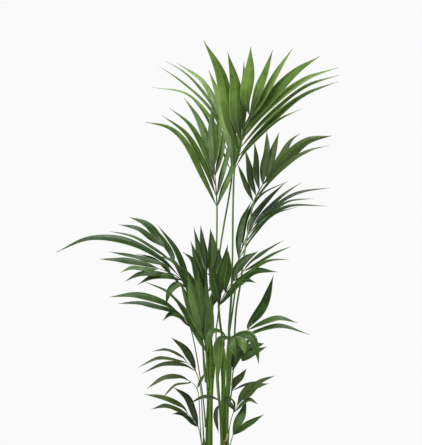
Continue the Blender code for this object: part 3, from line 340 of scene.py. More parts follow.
            (3.6, 38, (10.8, -4.6, 65.4), (15.4, -5.2, 72), (19, -6, 82)),
        ),
    ),
    "leaf_m": dict(
        stem="right", seat=(41, 265), size=0.85, facing=(90, 60),
        stalk=((3.4, -3.6, 49), (3.5, -5.8, 55.5)),
        midrib=((3.7, -8, 59.6), (4.6, -10.4, 61.2), (5.8, -12.8, 61.6)),
        right=(
            (3.0, 25, (7.4, -9.6, 61.6), (11.2, -11.2, 61.4), (13.1, -12.6, 57.7), (14, -13.6, 52)),
            (3.2, 8, (7.4, -13.4, 60.8), (8.6, -15.4, 59), (9.4, -17.2, 55.4)),
        ),
        left=(
            (2.6, 56, (1.4, -9.4, 62.6), (-1.6, -10.4, 62.8), (-4.3, -11.4, 57.5)),
            (3.4, 22, (1.3, -10.4, 60.4), (0.5, -10.6, 55.6), (0.6, -10.4, 47.6)),
            (3.0, 12, (5.9, -14.6, 60.2), (6.2, -16, 57.4), (6.4, -17, 53.4)),
        ),
    ),
    "leaf_n": dict(
        stem="small_left", seat=None, size=0.5, facing=(270, 42),
        stalk=((-4.9, -4.8, 35), (-5.7, -5.6, 45)),
        midrib=((-7.0, -6.4, 49.4), (-8.4, -7, 51.4), (-10.4, -7.6, 52.8)),
        right=(
            (3.0, 36, (-8.2, -6, 53.4), (-10.6, -5.8, 57.4), (-15.3, -5.8, 61)),
            (2.6, 68, (-11.4, -7.2, 54.6), (-16.6, -7.6, 57.2), (-21.8, -8.2, 56.4)),
        ),
        left=(
            (2.6, 68, (-11, -8.8, 52.2), (-18, -10.4, 52.4), (-25, -11.8, 49)),
            (2.6, 68, (-13, -8.6, 53.6), (-19.4, -9.4, 54.6), (-26.5, -10.4, 51)),
        ),
    ),
    "leaf_o": dict(
        stem="small_left", seat=(26, 180), size=0.5, facing=(270, 45),
        stalk=((-5.7, -5.4, 33), (-6.0, -6.6, 40)),
        midrib=((-6.6, -7.6, 43.6), (-7.8, -8.6, 45.4), (-9.4, -9.6, 46.6)),
        right=(
            (1.6, 40, (-5.9, -8.2, 46.2), (-5.0, -8.6, 47.7), (-3.7, -8.8, 49.7)),
            (2.8, 52, (-12, -10, 48.2), (-17.6, -11.2, 48), (-23.5, -12.4, 43.9)),
        ),
        left=(
            (2.4, 66, (-9.2, -10.4, 46), (-14, -12, 45.4), (-18.2, -13.2, 40.9)),
        ),
    ),
    "leaf_p": dict(
        stem="small_left", seat=(24, 215), size=0.5, facing=(270, 45),
        stalk=((-5.6, -5.8, 28),),
        midrib=((-6.2, -7.0, 30.8), (-7.8, -8.4, 33.4), (-10, -9.8, 35.6)),
        right=(
            (3.2, 34, (-7.4, -7.2, 35.6), (-9.6, -7.8, 40.8), (-14.5, -8.6, 44.3)),
            (2.8, 56, (-11.2, -9.4, 37.8), (-17, -10.6, 40.8), (-24.5, -11.8, 42)),
        ),
        left=(
            (2.8, 54, (-8.4, -9.4, 33.2), (-11.6, -10.8, 35.6), (-15, -12, 35.4)),
            (2.8, 56, (-12.4, -11.2, 36.8), (-17, -12.6, 38.4), (-22, -13.8, 37)),
        ),
    ),
    "leaf_q": dict(
        stem="small_right", seat=None, size=0.5, facing=(270, 42),
        stalk=((4.2, -5.2, 31),),
        midrib=((5.4, -6.2, 35.6), (6.5, -6.9, 37.8), (8.2, -7.8, 40.2)),
        right=(
            (2.2, 64, (8.4, -8.2, 39.2), (10.8, -9.4, 40.4), (13.8, -10.6, 38.6)),
            (2.6, 56, (10.2, -9.6, 42), (13.2, -10.8, 44.8), (17.4, -11.8, 45.6)),
        ),
        left=(
            (2.0, 62, (5.6, -6.0, 38.8), (4.6, -5.7, 40.3), (2.4, -5.6, 39.8)),
            (2.8, 40, (8.8, -7.8, 43), (11.4, -8.2, 45), (14.8, -8.8, 44.2)),
            (2.8, 52, (10.6, -8.6, 43.6), (14, -9.2, 46.4), (19.4, -10.2, 48.2)),
        ),
    ),
    "leaf_r": dict(
        stem="small_right", seat=(24, 320), size=0.5, facing=(270, 42),
        stalk=((4.8, -6.0, 26.4),),
        midrib=((5.2, -6.6, 28), (6.0, -7.2, 29.4), (7.0, -8, 30.4)),
        right=(
            (2.8, 54, (9.2, -9.2, 31.6), (12.4, -10.4, 33.4), (15.8, -11.6, 35.3)),
        ),
        left=(
            (3.2, 28, (6.8, -6.8, 32.4), (8.4, -6.2, 35.6), (9.8, -5.6, 40.2)),
        ),
    ),
    "leaf_s": dict(
        stem="right", seat=(38, 345), size=0.7, facing=(270, 40),
        stalk=((5.0, -0.7, 44.5),),
        midrib=((5.4, -1.1, 49.6), (6.4, -1.8, 52.4), (8.4, -2.2, 54.4)),
        right=(
            (2.6, 36, (8.4, -3.4, 53.8), (12, -4.6, 56), (16.8, -5.6, 58)),
        ),
        left=(
            (3.6, 20, (6.0, -2.0, 54.2), (8.4, -2.2, 58), (11.8, -2.4, 61)),
            (3.4, 24, (9.6, -2.8, 56.4), (12.6, -3, 58.2), (15.8, -3.2, 59)),
        ),
    ),
    "leaf_t": dict(
        stem="right", seat=(39, 30), size=0.5, facing=(270, 40),
        stalk=((4.6, 1.1, 41.6),),
        midrib=((4.9, 1.3, 42.8), (5.4, 1.3, 43.8), (6.4, 1.2, 44.7)),
        right=(
            (2.0, 66, (8.8, 0.6, 45.2), (13.4, -0.4, 46.2), (17.8, -1.2, 47.9)),
        ),
        left=(
            (2.8, 32, (5.9, 1.4, 46.2), (7.8, 1.4, 48), (9.9, 1.4, 50.6)),
        ),
    ),
    "leaf_u": dict(
        stem="slender", seat=(31, 260), size=0.5, facing=(270, 45),
        stalk=((1.5, -4.7, 35),),
        midrib=((1.3, -5.4, 38), (1.2, -6.2, 39), (1.6, -7, 39.8)),
        right=(
            (2.0, 44, (3.2, -8.0, 39.4), (4.6, -9.0, 38.1), (6.2, -9.6, 36)),
        ),
        left=(
            (1.8, 20, (0.1, -6.2, 37.6), (-0.6, -6.6, 34.6), (0.5, -6.8, 29)),
            (1.8, 64, (-1.6, -7.4, 40.8), (-4.8, -8, 40.9), (-9.2, -8.6, 38.8)),
        ),
    ),
}


def in_place(point):
    """A table's position, in metres from the middle of the pot's underside."""
    x, y, z = point
    cm = 0.01
    share = min(max((z - OPENING_FROM) / (OPENING_TO - OPENING_FROM), 0), 1)
    y *= 1 + (DEPTH_SPREAD - 1) * share * share * (3 - 2 * share)
    apart = 1 + y / VIEW_DISTANCE
    x = VIEW_POINT[0] + (x - VIEW_POINT[0]) * apart
    z = VIEW_POINT[1] + (z - VIEW_POINT[1]) * apart
    return Vector((x * cm, y * cm, SOIL_TOP + (z - SOIL_DATUM) * cm))


# ---- curves -------------------------------------------------------------------------------------


class Route:
    """A smooth curve through points, measured by length."""

    STEPS = 12

    def __init__(self, points):
        ends = [2 * points[0] - points[1], *points, 2 * points[-1] - points[-2]]
        self.points, self.reach, self.at_point = [points[0].copy()], [0.0], [0.0]
        for before, start, end, after in zip(ends, ends[1:], ends[2:], ends[3:]):
            for step in range(1, self.STEPS + 1):
                self._add(self._between(before, start, end, after, step / self.STEPS))
            self.at_point.append(self.reach[-1])
        self.length = self.reach[-1]

    def _add(self, point):
        self.reach.append(self.reach[-1] + (point - self.points[-1]).length)
        self.points.append(point)

    @staticmethod
    def _between(before, start, end, after, share):
        """A centripetal Catmull-Rom span, which doesn't loop where points are unevenly spaced."""
        a, b, c = (max((q - p).length, 1e-6) ** 0.5 for p, q in
                   ((before, start), (start, end), (end, after)))
        leave = ((start - before) / a - (end - before) / (a + b) + (end - start) / b) * b
        arrive = ((end - start) / b - (after - start) / (b + c) + (after - end) / c) * b
        s, s2, s3 = share, share**2, share**3
        return (start * (2 * s3 - 3 * s2 + 1) + leave * (s3 - 2 * s2 + s)
                + end * (3 * s2 - 2 * s3) + arrive * (s3 - s2))

    def point(self, length):
        length = min(max(length, 0.0), self.length)
        for i in range(1, len(self.reach)):
            if self.reach[i] >= length:
                break
        span = self.reach[i] - self.reach[i - 1]
        return self.points[i - 1].lerp(self.points[i], (length - self.reach[i - 1]) / span)

    def direction(self, length, within=0.004):
        near = max(length - within, 0.0)
        far = min(length + within, self.length)
        return (self.point(far) - self.point(near)).normalized()


def square_to(vector, direction):
    """The vector with its share along the direction taken away, one unit long."""
    return (vector - direction * vector.dot(direction)).normalized()


def carried(vector, directions):
    """The vector moved along the directions without twist, one for each of them."""
    moved = [square_to(vector, directions[0])]
    for direction in directions[1:]:
        moved.append(square_to(moved[-1], direction))
    return moved


def compass(degrees, lift=0.0):
    around, up = math.radians(degrees), math.radians(lift)
    flat = math.cos(up)
    return Vector((math.cos(around) * flat, math.sin(around) * flat, math.sin(up)))


def stem_route(route):
    """A stem's curve, with its foot planted straight down below the first point."""
    points = [in_place(point) for point in route]
    foot = points[0].copy()
    foot.z = SOIL_TOP - 0.040
    return Route([foot, *points])


def stem_radius(radii, route, length):
    shares = [route.at_point[1:], [r * 0.01 for r in radii]]
    if length <= shares[0][0]:
        return shares[1][0]
    for (near, far), (a, b) in zip(zip(shares[0], shares[0][1:]), zip(shares[1], shares[1][1:])):
        if length <= far:
            return a + (b - a) * (length - near) / (far - near)
    return shares[1][-1]


def at_height(route, height):
    """Length along a rising route where it passes a height."""
    low, high = 0.0, route.length
    for _ in range(40):
        middle = (low + high) / 2
        low, high = (middle, high) if route.point(middle).z < height else (low, middle)
    return low


def seated(stem, seat, thickness):
    """The first points of a stalk on its stem, and the way its upper side looks there."""
    points, radii = STEMS[stem]
    route = stem_route(points)
    if seat is None:
        top = route.point(route.length)
        along = route.direction(route.length)
        start = top + along * CLEARANCE
        return [start, start + along * 2.5 * thickness], square_to(Vector((0, 1, 0)), along)
    height, side = seat
    outward = compass(side)
    held = []
    for rise in (0, 1.2):
        length = at_height(route, in_place((0, 0, height + rise)).z)
        reach = stem_radius(radii, route, length) + CLEARANCE + thickness / 2
        held.append(route.point(length) + outward * reach * (1 + 0.04 * rise))
    return held, -outward


def slots(count, most):
    """Which of the midrib's places a side's leaflets take, spread evenly over them."""
    if count == 1:
        return [most - 1]
    return [round(i * (most - 1) / (count - 1)) for i in range(count)]


def leaf_frame(spec):
    """The stalk and midrib of a leaf: its curve, where the midrib starts, and its upper side."""
    thickness = STALK_THICKNESS * spec["size"]
    held, upper = seated(spec["stem"], spec["seat"], thickness)
    stalk = [in_place(point) for point in spec["stalk"]]
    midrib = [in_place(point) for point in spec["midrib"]]
    route = Route([*held, *stalk, *midrib])
    return route, route.at_point[len(held) + len(stalk)], upper, thickness


# ---- materials ----------------------------------------------------------------------------------


def linear(colour):
    """A '#rrggbb' sRGB colour as linear RGBA."""
    parts = [int(colour[i:i + 2], 16) / 255 for i in (1, 3, 5)]
    return (*[c / 12.92 if c <= 0.04045 else ((c + 0.055) / 1.055) ** 2.4 for c in parts], 1)


def new_material(name):
    material = bpy.data.materials.new(name)
    material.use_nodes = True
    material.node_tree.nodes.clear()
    return material, material.node_tree


def add(tree, kind, output=0, **values):
    """Adds a node and returns one of its outputs.

    A value goes to the node's setting of that name, or else to its input: by name, or as i0, i1
    and so on by number. Another node's output is linked to the input; anything else is set.
    """
    node = tree.nodes.new("ShaderNode" + kind)
    for name, value in values.items():
        if hasattr(node, name):
            setattr(node, name, value)
            continue
        socket = node.inputs[int(name[1:]) if name[1:].isdigit() else name.replace("_", " ")]
        if isinstance(value, bpy.types.NodeSocket):
            tree.links.new(value, socket)
        else:
            socket.default_value = value
    return node.outputs[output]


def finished(material, surface):
    """The material, with its surface linked to the output."""
    tree = material.node_tree
    tree.links.new(surface, tree.nodes.new("ShaderNodeOutputMaterial").inputs["Surface"])
    return material


SMOOTH = {"interpolation_type": "SMOOTHSTEP"}
COLOURS = {"data_type": "RGBA"}


def leaflet_finish(name, dark, light, rib, through, roughness):
    """A living kentia leaflet: waxy skin over soft ribs, a paler midrib, a paler margin that is partly a
    painted highlight, painted shade towards the foot, a dry tip.

    The wax gives a broad, greyish sheen; light from behind shows through as yellow green.
    """
    material, tree = new_material(name)
    spot = add(tree, "TexCoord", "Object")
    blade = add(tree, "UVMap", uv_map="blade")
    across = add(tree, "SeparateXYZ", "X", i0=blade)
    along = add(tree, "SeparateXYZ", "Y", i0=blade)
    growth_and_shade = add(tree, "Attribute", "Color", attribute_name="growth_and_shade")
    tone = add(tree, "SeparateColor", 0, i0=growth_and_shade)
    dry = add(tree, "SeparateColor", 1, i0=growth_and_shade)
    # Blue channel: painted shade, darkening the leaflet towards its foot.
    painted_shade = add(tree, "SeparateColor", 2, i0=growth_and_shade)
    offset = add(tree, "Math", operation="SUBTRACT", i0=across, i1=0.5)
    from_middle = add(tree, "Math", operation="ABSOLUTE", i0=offset)
    # Eleven ribs to a leaflet, 2 to 4 mm apart: real ones are about 1 mm and wouldn't show.
    ribs = add(tree, "Math", operation="MULTIPLY", i0=across, i1=2 * math.pi * 11)
    ribs = add(tree, "Math", operation="SINE", i0=ribs)
    # Patches of 3 to 6 cm, where light and age change the green, and a grain of 1 mm.
    patches = add(tree, "TexNoise", Vector=spot, Scale=26.0, Detail=4.0, Roughness=0.6)
    grain = add(tree, "TexNoise", Vector=spot, Scale=900.0, Detail=2.0)
    green = add(tree, "Math", operation="MULTIPLY_ADD", i0=patches, i1=1.1, i2=tone)
    green = add(tree, "Math", operation="MULTIPLY_ADD", i0=ribs, i1=0.09, i2=green)
    green = add(tree, "Math", operation="MULTIPLY_ADD", i0=grain, i1=0.3, i2=green)
    green = add(tree, "MapRange", **SMOOTH, Value=green, From_Min=0.68, From_Max=1.75)
    colour = add(tree, "Mix", 2, **COLOURS, i0=green, i6=linear(dark), i7=linear(light))
    # Towards the foot the green is darker: painted shade, where the folded, crowded leaflet bases shade each
    # other.
    foot = add(tree, "MapRange", **SMOOTH, Value=along, From_Min=0.55, From_Max=0.04, To_Max=painted_shade)
    colour = add(tree, "Mix", 2, **COLOURS, i0=foot, i6=colour, i7=linear("#12260a"))
    # A paler midrib, and a paler margin: partly the leaflet's own colour, partly a painted highlight where
    # its edges catch light.
    midrib = add(tree, "MapRange", **SMOOTH, Value=from_middle, From_Min=0.05, From_Max=0.008)
    margin_and_highlight = add(tree, "MapRange", **SMOOTH, Value=from_middle, From_Min=0.43, From_Max=0.49)
    pale = add(tree, "Math", operation="MAXIMUM", i0=midrib, i1=margin_and_highlight)
    pale = add(tree, "Math", operation="MULTIPLY", i0=pale, i1=0.5)
    colour = add(tree, "Mix", 2, **COLOURS, i0=pale, i6=colour, i7=linear(rib))
    # The tip has dried back by a share of the leaflet that the growth_and_shade attribute holds.
    start = add(tree, "Math", operation="SUBTRACT", i0=1.0, i1=dry)
    ragged = add(tree, "TexNoise", Vector=spot, Scale=160.0)
    ragged = add(tree, "Math", operation="MULTIPLY_ADD", i0=ragged, i1=0.08, i2=along)
    tip = add(tree, "MapRange", **SMOOTH, Value=ragged, From_Min=start, From_Max=1.05)
    colour = add(tree, "Mix", 2, **COLOURS, i0=tip, i6=colour, i7=linear("#5d4a2c"))
    height = add(tree, "Math", operation="MULTIPLY_ADD", i0=ribs, i1=0.4, i2=midrib)
    height = add(tree, "Math", operation="MULTIPLY_ADD", i0=grain, i1=0.4, i2=height)
    normal = add(tree, "Bump", Strength=0.6, Distance=0.0004, Height=height)
    worn = add(tree, "TexNoise", Vector=spot, Scale=60.0, Detail=3.0)
    rough = add(tree, "MapRange", **SMOOTH, Value=worn, From_Min=0.3, From_Max=0.7,
                To_Min=roughness - 0.07, To_Max=roughness + 0.10)
    wax = add(tree, "BsdfPrincipled", Base_Color=colour, Roughness=rough, Normal=normal, IOR=1.42)
    lit = add(tree, "Mix", 2, **COLOURS, i0=0.55, i6=colour, i7=linear(through))
    glow = add(tree, "BsdfTranslucent", Color=lit, Normal=normal)
    leaf = add(tree, "MixShader", i0=0.18, i1=wax, i2=glow)
    return finished(material, leaf)


def stalk_finish(name, dark, light, scurf):
    """A living stalk or sheath: smooth and waxy, streaked lengthwise, brown and scurfy low down, with
    painted shade in the creases between sheaths and along the midrib.

    The wax gives a narrow, soft highlight down each stalk.
    """
    material, tree = new_material(name)
    spot = add(tree, "TexCoord", "Object")
    skin = add(tree, "UVMap", uv_map="blade")
    growth_and_shade = add(tree, "Attribute", "Color", attribute_name="growth_and_shade")
    tone = add(tree, "SeparateColor", 0, i0=growth_and_shade)
    age = add(tree, "SeparateColor", 1, i0=growth_and_shade)
    crease = add(tree, "SeparateColor", 2, i0=growth_and_shade)
    # Fibres under the skin, 1 to 2 mm wide and some centimetres long; round and along the stalk.
    place = add(tree, "Mapping", Vector=skin, Scale=(26.0, 22.0, 1.0))
    streaks = add(tree, "TexNoise", Vector=place, Scale=1.0, Detail=3.0)
    patches = add(tree, "TexNoise", Vector=spot, Scale=18.0, Detail=3.0)
    shade = add(tree, "Math", operation="MULTIPLY_ADD", i0=streaks, i1=1.4, i2=tone)
    shade = add(tree, "Math", operation="MULTIPLY_ADD", i0=patches, i1=0.7, i2=shade)
    shade = add(tree, "MapRange", **SMOOTH, Value=shade, From_Min=0.95, From_Max=2.15)
    colour = add(tree, "Mix", 2, **COLOURS, i0=shade, i6=linear(dark), i7=linear(light))
    # Painted shade: the blue channel darkens the creases between sheaths and the midrib among the leaflets.
    painted_shade = add(tree, "Math", operation="MULTIPLY", i0=crease, i1=0.85)
    colour = add(tree, "Mix", 2, **COLOURS, i0=painted_shade, i6=colour, i7=linear("#1c2a0c"))
    flecks = add(tree, "TexNoise", Vector=spot, Scale=420.0, Detail=2.0)
    flecks = add(tree, "MapRange", **SMOOTH, Value=flecks, From_Min=0.55, From_Max=0.65)
    flecks = add(tree, "Math", operation="MULTIPLY", i0=flecks, i1=age)
    colour = add(tree, "Mix", 2, **COLOURS, i0=flecks, i6=colour, i7=linear(scurf))
    dead = add(tree, "Math", operation="MULTIPLY_ADD", i0=streaks, i1=0.5, i2=age)
    dead = add(tree, "MapRange", **SMOOTH, Value=dead, From_Min=0.90, From_Max=1.2)
    colour = add(tree, "Mix", 2, **COLOURS, i0=dead, i6=colour, i7=linear("#3a2a1a"))
    height = add(tree, "Math", operation="ADD", i0=streaks, i1=flecks)
    normal = add(tree, "Bump", Strength=0.5, Distance=0.0006, Height=height)
    worn = add(tree, "TexNoise", Vector=spot, Scale=90.0)
    rough = add(tree, "MapRange", Value=worn, From_Min=0.3, From_Max=0.7, To_Min=0.34, To_Max=0.50)
    wax = add(tree, "BsdfPrincipled", Base_Color=colour, Roughness=rough, Normal=normal, IOR=1.41)
    return finished(material, wax)


def dry_finish():
    """A stalk cut off a year ago: straw brown, fibrous, dull and split along its length."""
    material, tree = new_material("Dry palm stalk")
    spot = add(tree, "TexCoord", "Object")
    place = add(tree, "Mapping", Vector=spot, Scale=(1.0, 1.0, 0.06))
    fibres = add(tree, "TexNoise", Vector=place, Scale=1400.0, Detail=3.0)
    stains = add(tree, "TexNoise", Vector=spot, Scale=120.0, Detail=3.0)
    share = add(tree, "MapRange", **SMOOTH, Value=fibres, From_Min=0.3, From_Max=0.7)
    colour = add(tree, "Mix", 2, **COLOURS, i0=share, i6=linear("#8f7350"), i7=linear("#cdb690"))
    stains = add(tree, "MapRange", **SMOOTH, Value=stains, From_Min=0.5, From_Max=0.75, To_Max=0.7)
    colour = add(tree, "Mix", 2, **COLOURS, i0=stains, i6=colour, i7=linear("#5b4027"))
    normal = add(tree, "Bump", Strength=0.7, Distance=0.0006, Height=fibres)
    straw = add(tree, "BsdfPrincipled", Base_Color=colour, Roughness=0.82, Normal=normal)
    return finished(material, straw)


def peat_finish():
    """Damp peat potting mix: crumbs of 2 to 6 mm, painted shade near black in the gaps, with pale grit and
    fibre.
    """
    material, tree = new_material("Peat potting mix")
    spot = add(tree, "TexCoord", "Object")
    crumbs = add(tree, "TexVoronoi", "Distance", Vector=spot, Scale=260.0)
    lumps = add(tree, "TexNoise", Vector=spot, Scale=70.0, Detail=6.0, Roughness=0.7)
    grit = add(tree, "TexNoise", Vector=spot, Scale=900.0, Detail=3.0)
    share = add(tree, "MapRange", **SMOOTH, Value=lumps, From_Min=0.3, From_Max=0.7)
    colour = add(tree, "Mix", 2, **COLOURS, i0=share, i6=linear("#21170f"), i7=linear("#4a3624"))
    # Painted shade: the gaps between crumbs, the bump's hollows, go near black.
    gap_shade = add(tree, "MapRange", **SMOOTH, Value=crumbs, From_Min=0.25, From_Max=0.7, To_Max=0.8)
    colour = add(tree, "Mix", 2, **COLOURS, i0=gap_shade, i6=colour, i7=linear("#0f0a06"))
    flecks = add(tree, "MapRange", **SMOOTH, Value=grit, From_Min=0.62, From_Max=0.72, To_Max=0.5)
    colour = add(tree, "Mix", 2, **COLOURS, i0=flecks, i6=colour, i7=linear("#6f5439"))
    height = add(tree, "Math", operation="MULTIPLY_ADD", i0=crumbs, i1=-0.8, i2=lumps)
    height = add(tree, "Math", operation="MULTIPLY_ADD", i0=grit, i1=0.3, i2=height)
    normal = add(tree, "Bump", Strength=0.9, Distance=0.003, Height=height)
    peat = add(tree, "BsdfPrincipled", Base_Color=colour, Roughness=0.93, Normal=normal)
    return finished(material, peat)


def crumb_finish(name, dark, light):
    """A loose grain on the soil: one material's two shades, in a dull, rough grain of 2 mm."""
    material, tree = new_material(name)
    spot = add(tree, "TexCoord", "Object")
    grain = add(tree, "TexNoise", Vector=spot, Scale=500.0, Detail=4.0)
    share = add(tree, "MapRange", **SMOOTH, Value=grain, From_Min=0.3, From_Max=0.7)
    colour = add(tree, "Mix", 2, **COLOURS, i0=share, i6=linear(dark), i7=linear(light))
    normal = add(tree, "Bump", Strength=0.6, Distance=0.001, Height=grain)
    crumb = add(tree, "BsdfPrincipled", Base_Color=colour, Roughness=0.9, Normal=normal)
    return finished(material, crumb)


def pot_finish():
    """Injection-moulded polypropylene, dark grey: satin, finely sparked, dusty near the foot."""
    material, tree = new_material("Moulded polypropylene, dark grey")
    spot = add(tree, "TexCoord", "Object")
    # The mould's spark texture is about 0.1 mm; 1 mm is the finest that shows.
    spark = add(tree, "TexNoise", Vector=spot, Scale=1500.0, Detail=2.0)
    place = add(tree, "Mapping", Vector=spot, Scale=(1.0, 1.0, 0.12))
    flow = add(tree, "TexNoise", Vector=place, Scale=60.0, Detail=3.0)
    dust = add(tree, "TexNoise", Vector=spot, Scale=34.0, Detail=5.0, Roughness=0.65)
    share = add(tree, "MapRange", **SMOOTH, Value=flow, From_Min=0.3, From_Max=0.7)
    colour = add(tree, "Mix", 2, **COLOURS, i0=share, i6=linear("#2a2b2d"), i7=linear("#35363a"))
    height = add(tree, "SeparateXYZ", "Z", i0=spot)
    low = add(tree, "MapRange", **SMOOTH, Value=height, From_Min=0.06, From_Max=0.0,
              To_Min=0.22, To_Max=0.65)
    dusty = add(tree, "MapRange", **SMOOTH, Value=dust, From_Min=0.5, From_Max=0.8, To_Max=low)
    colour = add(tree, "Mix", 2, **COLOURS, i0=dusty, i6=colour, i7=linear("#776a5a"))
    rough = add(tree, "MapRange", Value=dusty, From_Max=0.5, To_Min=0.40, To_Max=0.65)
    relief = add(tree, "Math", operation="MULTIPLY_ADD", i0=flow, i1=0.6, i2=spark)
    normal = add(tree, "Bump", Strength=0.35, Distance=0.0003, Height=relief)
    plastic = add(tree, "BsdfPrincipled", Base_Color=colour, Roughness=rough, Normal=normal, IOR=1.49)
    return finished(material, plastic)


def floor_finish():
    """A pale matt floor that fades out towards its rim, so that it has no edge to see."""
    material, tree = new_material("Pale matt floor")
    spot = add(tree, "TexCoord", "Object")
    out = add(tree, "VectorMath", "Value", operation="LENGTH", i0=spot)
    out = add(tree, "MapRange", **SMOOTH, Value=out, From_Min=0.9, From_Max=2.9)
    mottle = add(tree, "TexNoise", Vector=spot, Scale=300.0)
    colour = add(tree, "Mix", 2, **COLOURS, i0=mottle, i6=linear("#e9e8e6"), i7=linear("#efeeec"))
    matt = add(tree, "BsdfPrincipled", Base_Color=colour, Roughness=0.8)
    clear = add(tree, "BsdfTransparent")
    faded = add(tree, "MixShader", i0=out, i1=matt, i2=clear)
    return finished(material, faded)


# ---- shaping ------------------------------------------------------------------------------------


def lay_grid(bm, across, along, place, uv_of=None, growth_and_shade_of=None):
    """A grid of faces, each corner of it placed by its shares across and along."""
    uvs = bm.loops.layers.uv.get("blade") or bm.loops.layers.uv.new("blade")
    growth_and_shade = bm.verts.layers.float_color.get("growth_and_shade") or bm.verts.layers.float_color.new("growth_and_shade")
    verts = bmesh.ops.create_grid(bm, x_segments=across, y_segments=along, size=0.5)["verts"]
    shares = {}
    for vert in verts:
        u, v = vert.co.x + 0.5, vert.co.y + 0.5
        shares[vert] = (u, v)
        vert.co = place(u, v)
        vert[growth_and_shade] = growth_and_shade_of(u, v) if growth_and_shade_of else (0.5, 0, 0, 1)
    faces = {face for vert in verts for face in vert.link_faces}
    for face in faces:
        for loop in face.loops:
            loop[uvs].uv = uv_of(*shares[loop.vert]) if uv_of else shares[loop.vert]
    return verts, list(faces), shares


def close_tube(bm, verts, near):
    """Joins a rolled-up grid's long edges and fills its ends."""
    bmesh.ops.remove_doubles(bm, verts=verts, dist=near)
    left = [vert for vert in verts if vert.is_valid]
    rims = [edge for edge in {e for vert in left for e in vert.link_edges} if edge.is_boundary]
    bmesh.ops.holes_fill(bm, edges=rims, sides=0)


def new_piece(name, bm, materials, replaced=(), smooth=True):
    """An object at the origin made of the bmesh, with its materials, attached to its body, and the nodes it
    replaces hidden.
    """
    bmesh.ops.recalc_face_normals(bm, faces=bm.faces)
    mesh = bpy.data.meshes.new(name)
    bm.to_mesh(mesh)
    bm.free()
    mesh.polygons.foreach_set("use_smooth", [smooth] * len(mesh.polygons))
    piece = bpy.data.objects.new(name, mesh)
    bpy.context.scene.collection.objects.link(piece)
    for material in materials:
        mesh.materials.append(material)
    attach(piece, "root")
    if replaced:
        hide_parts(*replaced)
    return piece


# ---- leaves -------------------------------------------------------------------------------------


def blade_share(share):
    """A leaflet's width at a share of its length: wide below the middle, then a long taper."""
    return max(math.sin(math.pi * share**0.84), 0.0) ** 1.1


class LeafletLine:
    """The middle line of a leaflet, with the way it faces all along."""

    def __init__(self, root, along, up, mirrored, leaflet, sway):
        width, turn, *points = leaflet
        self.half_width = width * 0.01 / 2
        self.route = Route([root, *(in_place(point) for point in points)])
        steps = BLADE_ALONG
        self.directions = [self.route.direction(self.route.length * i / steps, self.route.length * 0.03)
                           for i in range(steps + 1)]
        half = steps // 2 - 1
        front = square_to(Vector((0, -1, 0)), self.directions[half])
        lifted = front.cross(self.directions[half])
        if (self.route.points[-1] - root).x < 0:
            lifted = -lifted
        turned_by = math.radians(turn)
        normal = front * math.cos(turned_by) + lifted * math.sin(turned_by)
        normals = carried(normal, self.directions[half::-1])[:0:-1] + carried(normal, self.directions[half:])
        wide = self.directions[0].cross(normals[0]) if mirrored else normals[0].cross(self.directions[0])
        if wide.dot(along) + normals[0].dot(up) < 0:
            normals = [-n for n in normals]
        self.normals = [(Matrix.Rotation(sway * math.sin(3.0 * i / steps), 3, d) @ n).normalized()
                        for i, (n, d) in enumerate(zip(normals, self.directions))]
        self.mirrored = mirrored

    def place(self, u, v, lift, fold, wave, phase):
        i = min(round(v * BLADE_ALONG), BLADE_ALONG)
        direction, normal = self.directions[i], self.normals[i]
        wide = direction.cross(normal) if self.mirrored else normal.cross(direction)
        half = max(self.half_width * blade_share(v), 0.0007)
        side = 2 * u - 1
        side = math.copysign(abs(side) ** 1.35, side)
        # Folded downwards to both sides of the midrib, with a faint ripple along the margins.
        sag = -fold * half * abs(side) ** 1.2
        sag += wave * half * side * side * math.sin(phase + 15 * v + 1.5 * side)
        ridge = 0.0005 * math.exp(-((side / 0.10) ** 2)) * min(1, 4 * (1 - v))
        return (self.route.point(self.route.length * v) + wide * (side * half)
                + normal * (sag + ridge + lift))


def add_leaflet(bm, root, along, up, mirrored, leaflet, tone, painted_shade, chance):
    """A closed blade: an upper sheet, the same sheet turned over under it, and walls between."""
    line = LeafletLine(root, along, up, mirrored, leaflet, chance.uniform(-0.22, 0.22))
    fold, wave, phase = chance.uniform(0.22, 0.42), chance.uniform(0.02, 0.07), chance.uniform(0, 6)
    tone = min(max(tone + chance.uniform(-0.26, 0.26), 0), 1)
    dry = 0.03 + 0.10 * chance.random() ** 3
    # The sheet starts a little way in, so that its foot is inside the midrib.
    top, faces, shares = lay_grid(bm, BLADE_ACROSS, BLADE_ALONG,
                                  lambda u, v: line.place(u, v, BLADE_THICKNESS / 2, fold, wave, phase),
                                  growth_and_shade_of=lambda u, v: (tone, dry, painted_shade, 1))
    edges = list({edge for face in faces for edge in face.edges})
    rim = [edge for edge in edges if edge.is_boundary]
    made = bmesh.ops.duplicate(bm, geom=top + edges + faces)
    under = [item for item in made["geom"] if isinstance(item, bmesh.types.BMFace)]
    bmesh.ops.reverse_faces(bm, faces=under)
    for vert in top:
        u, v = shares[vert]
        made["vert_map"][vert].co = line.place(u, v, -BLADE_THICKNESS / 2, fold, wave, phase)
    under_rim = [edge for edge in {e for face in under for e in face.edges} if edge.is_boundary]
    walls = bmesh.ops.bridge_loops(bm, edges=rim + under_rim)["faces"]
    uvs = bm.loops.layers.uv["blade"]
    seen = dict(shares)
    seen.update({made["vert_map"][vert]: share for vert, share in shares.items()})
    for face in walls:
        for loop in face.loops:
            loop[uvs].uv = seen[loop.vert]


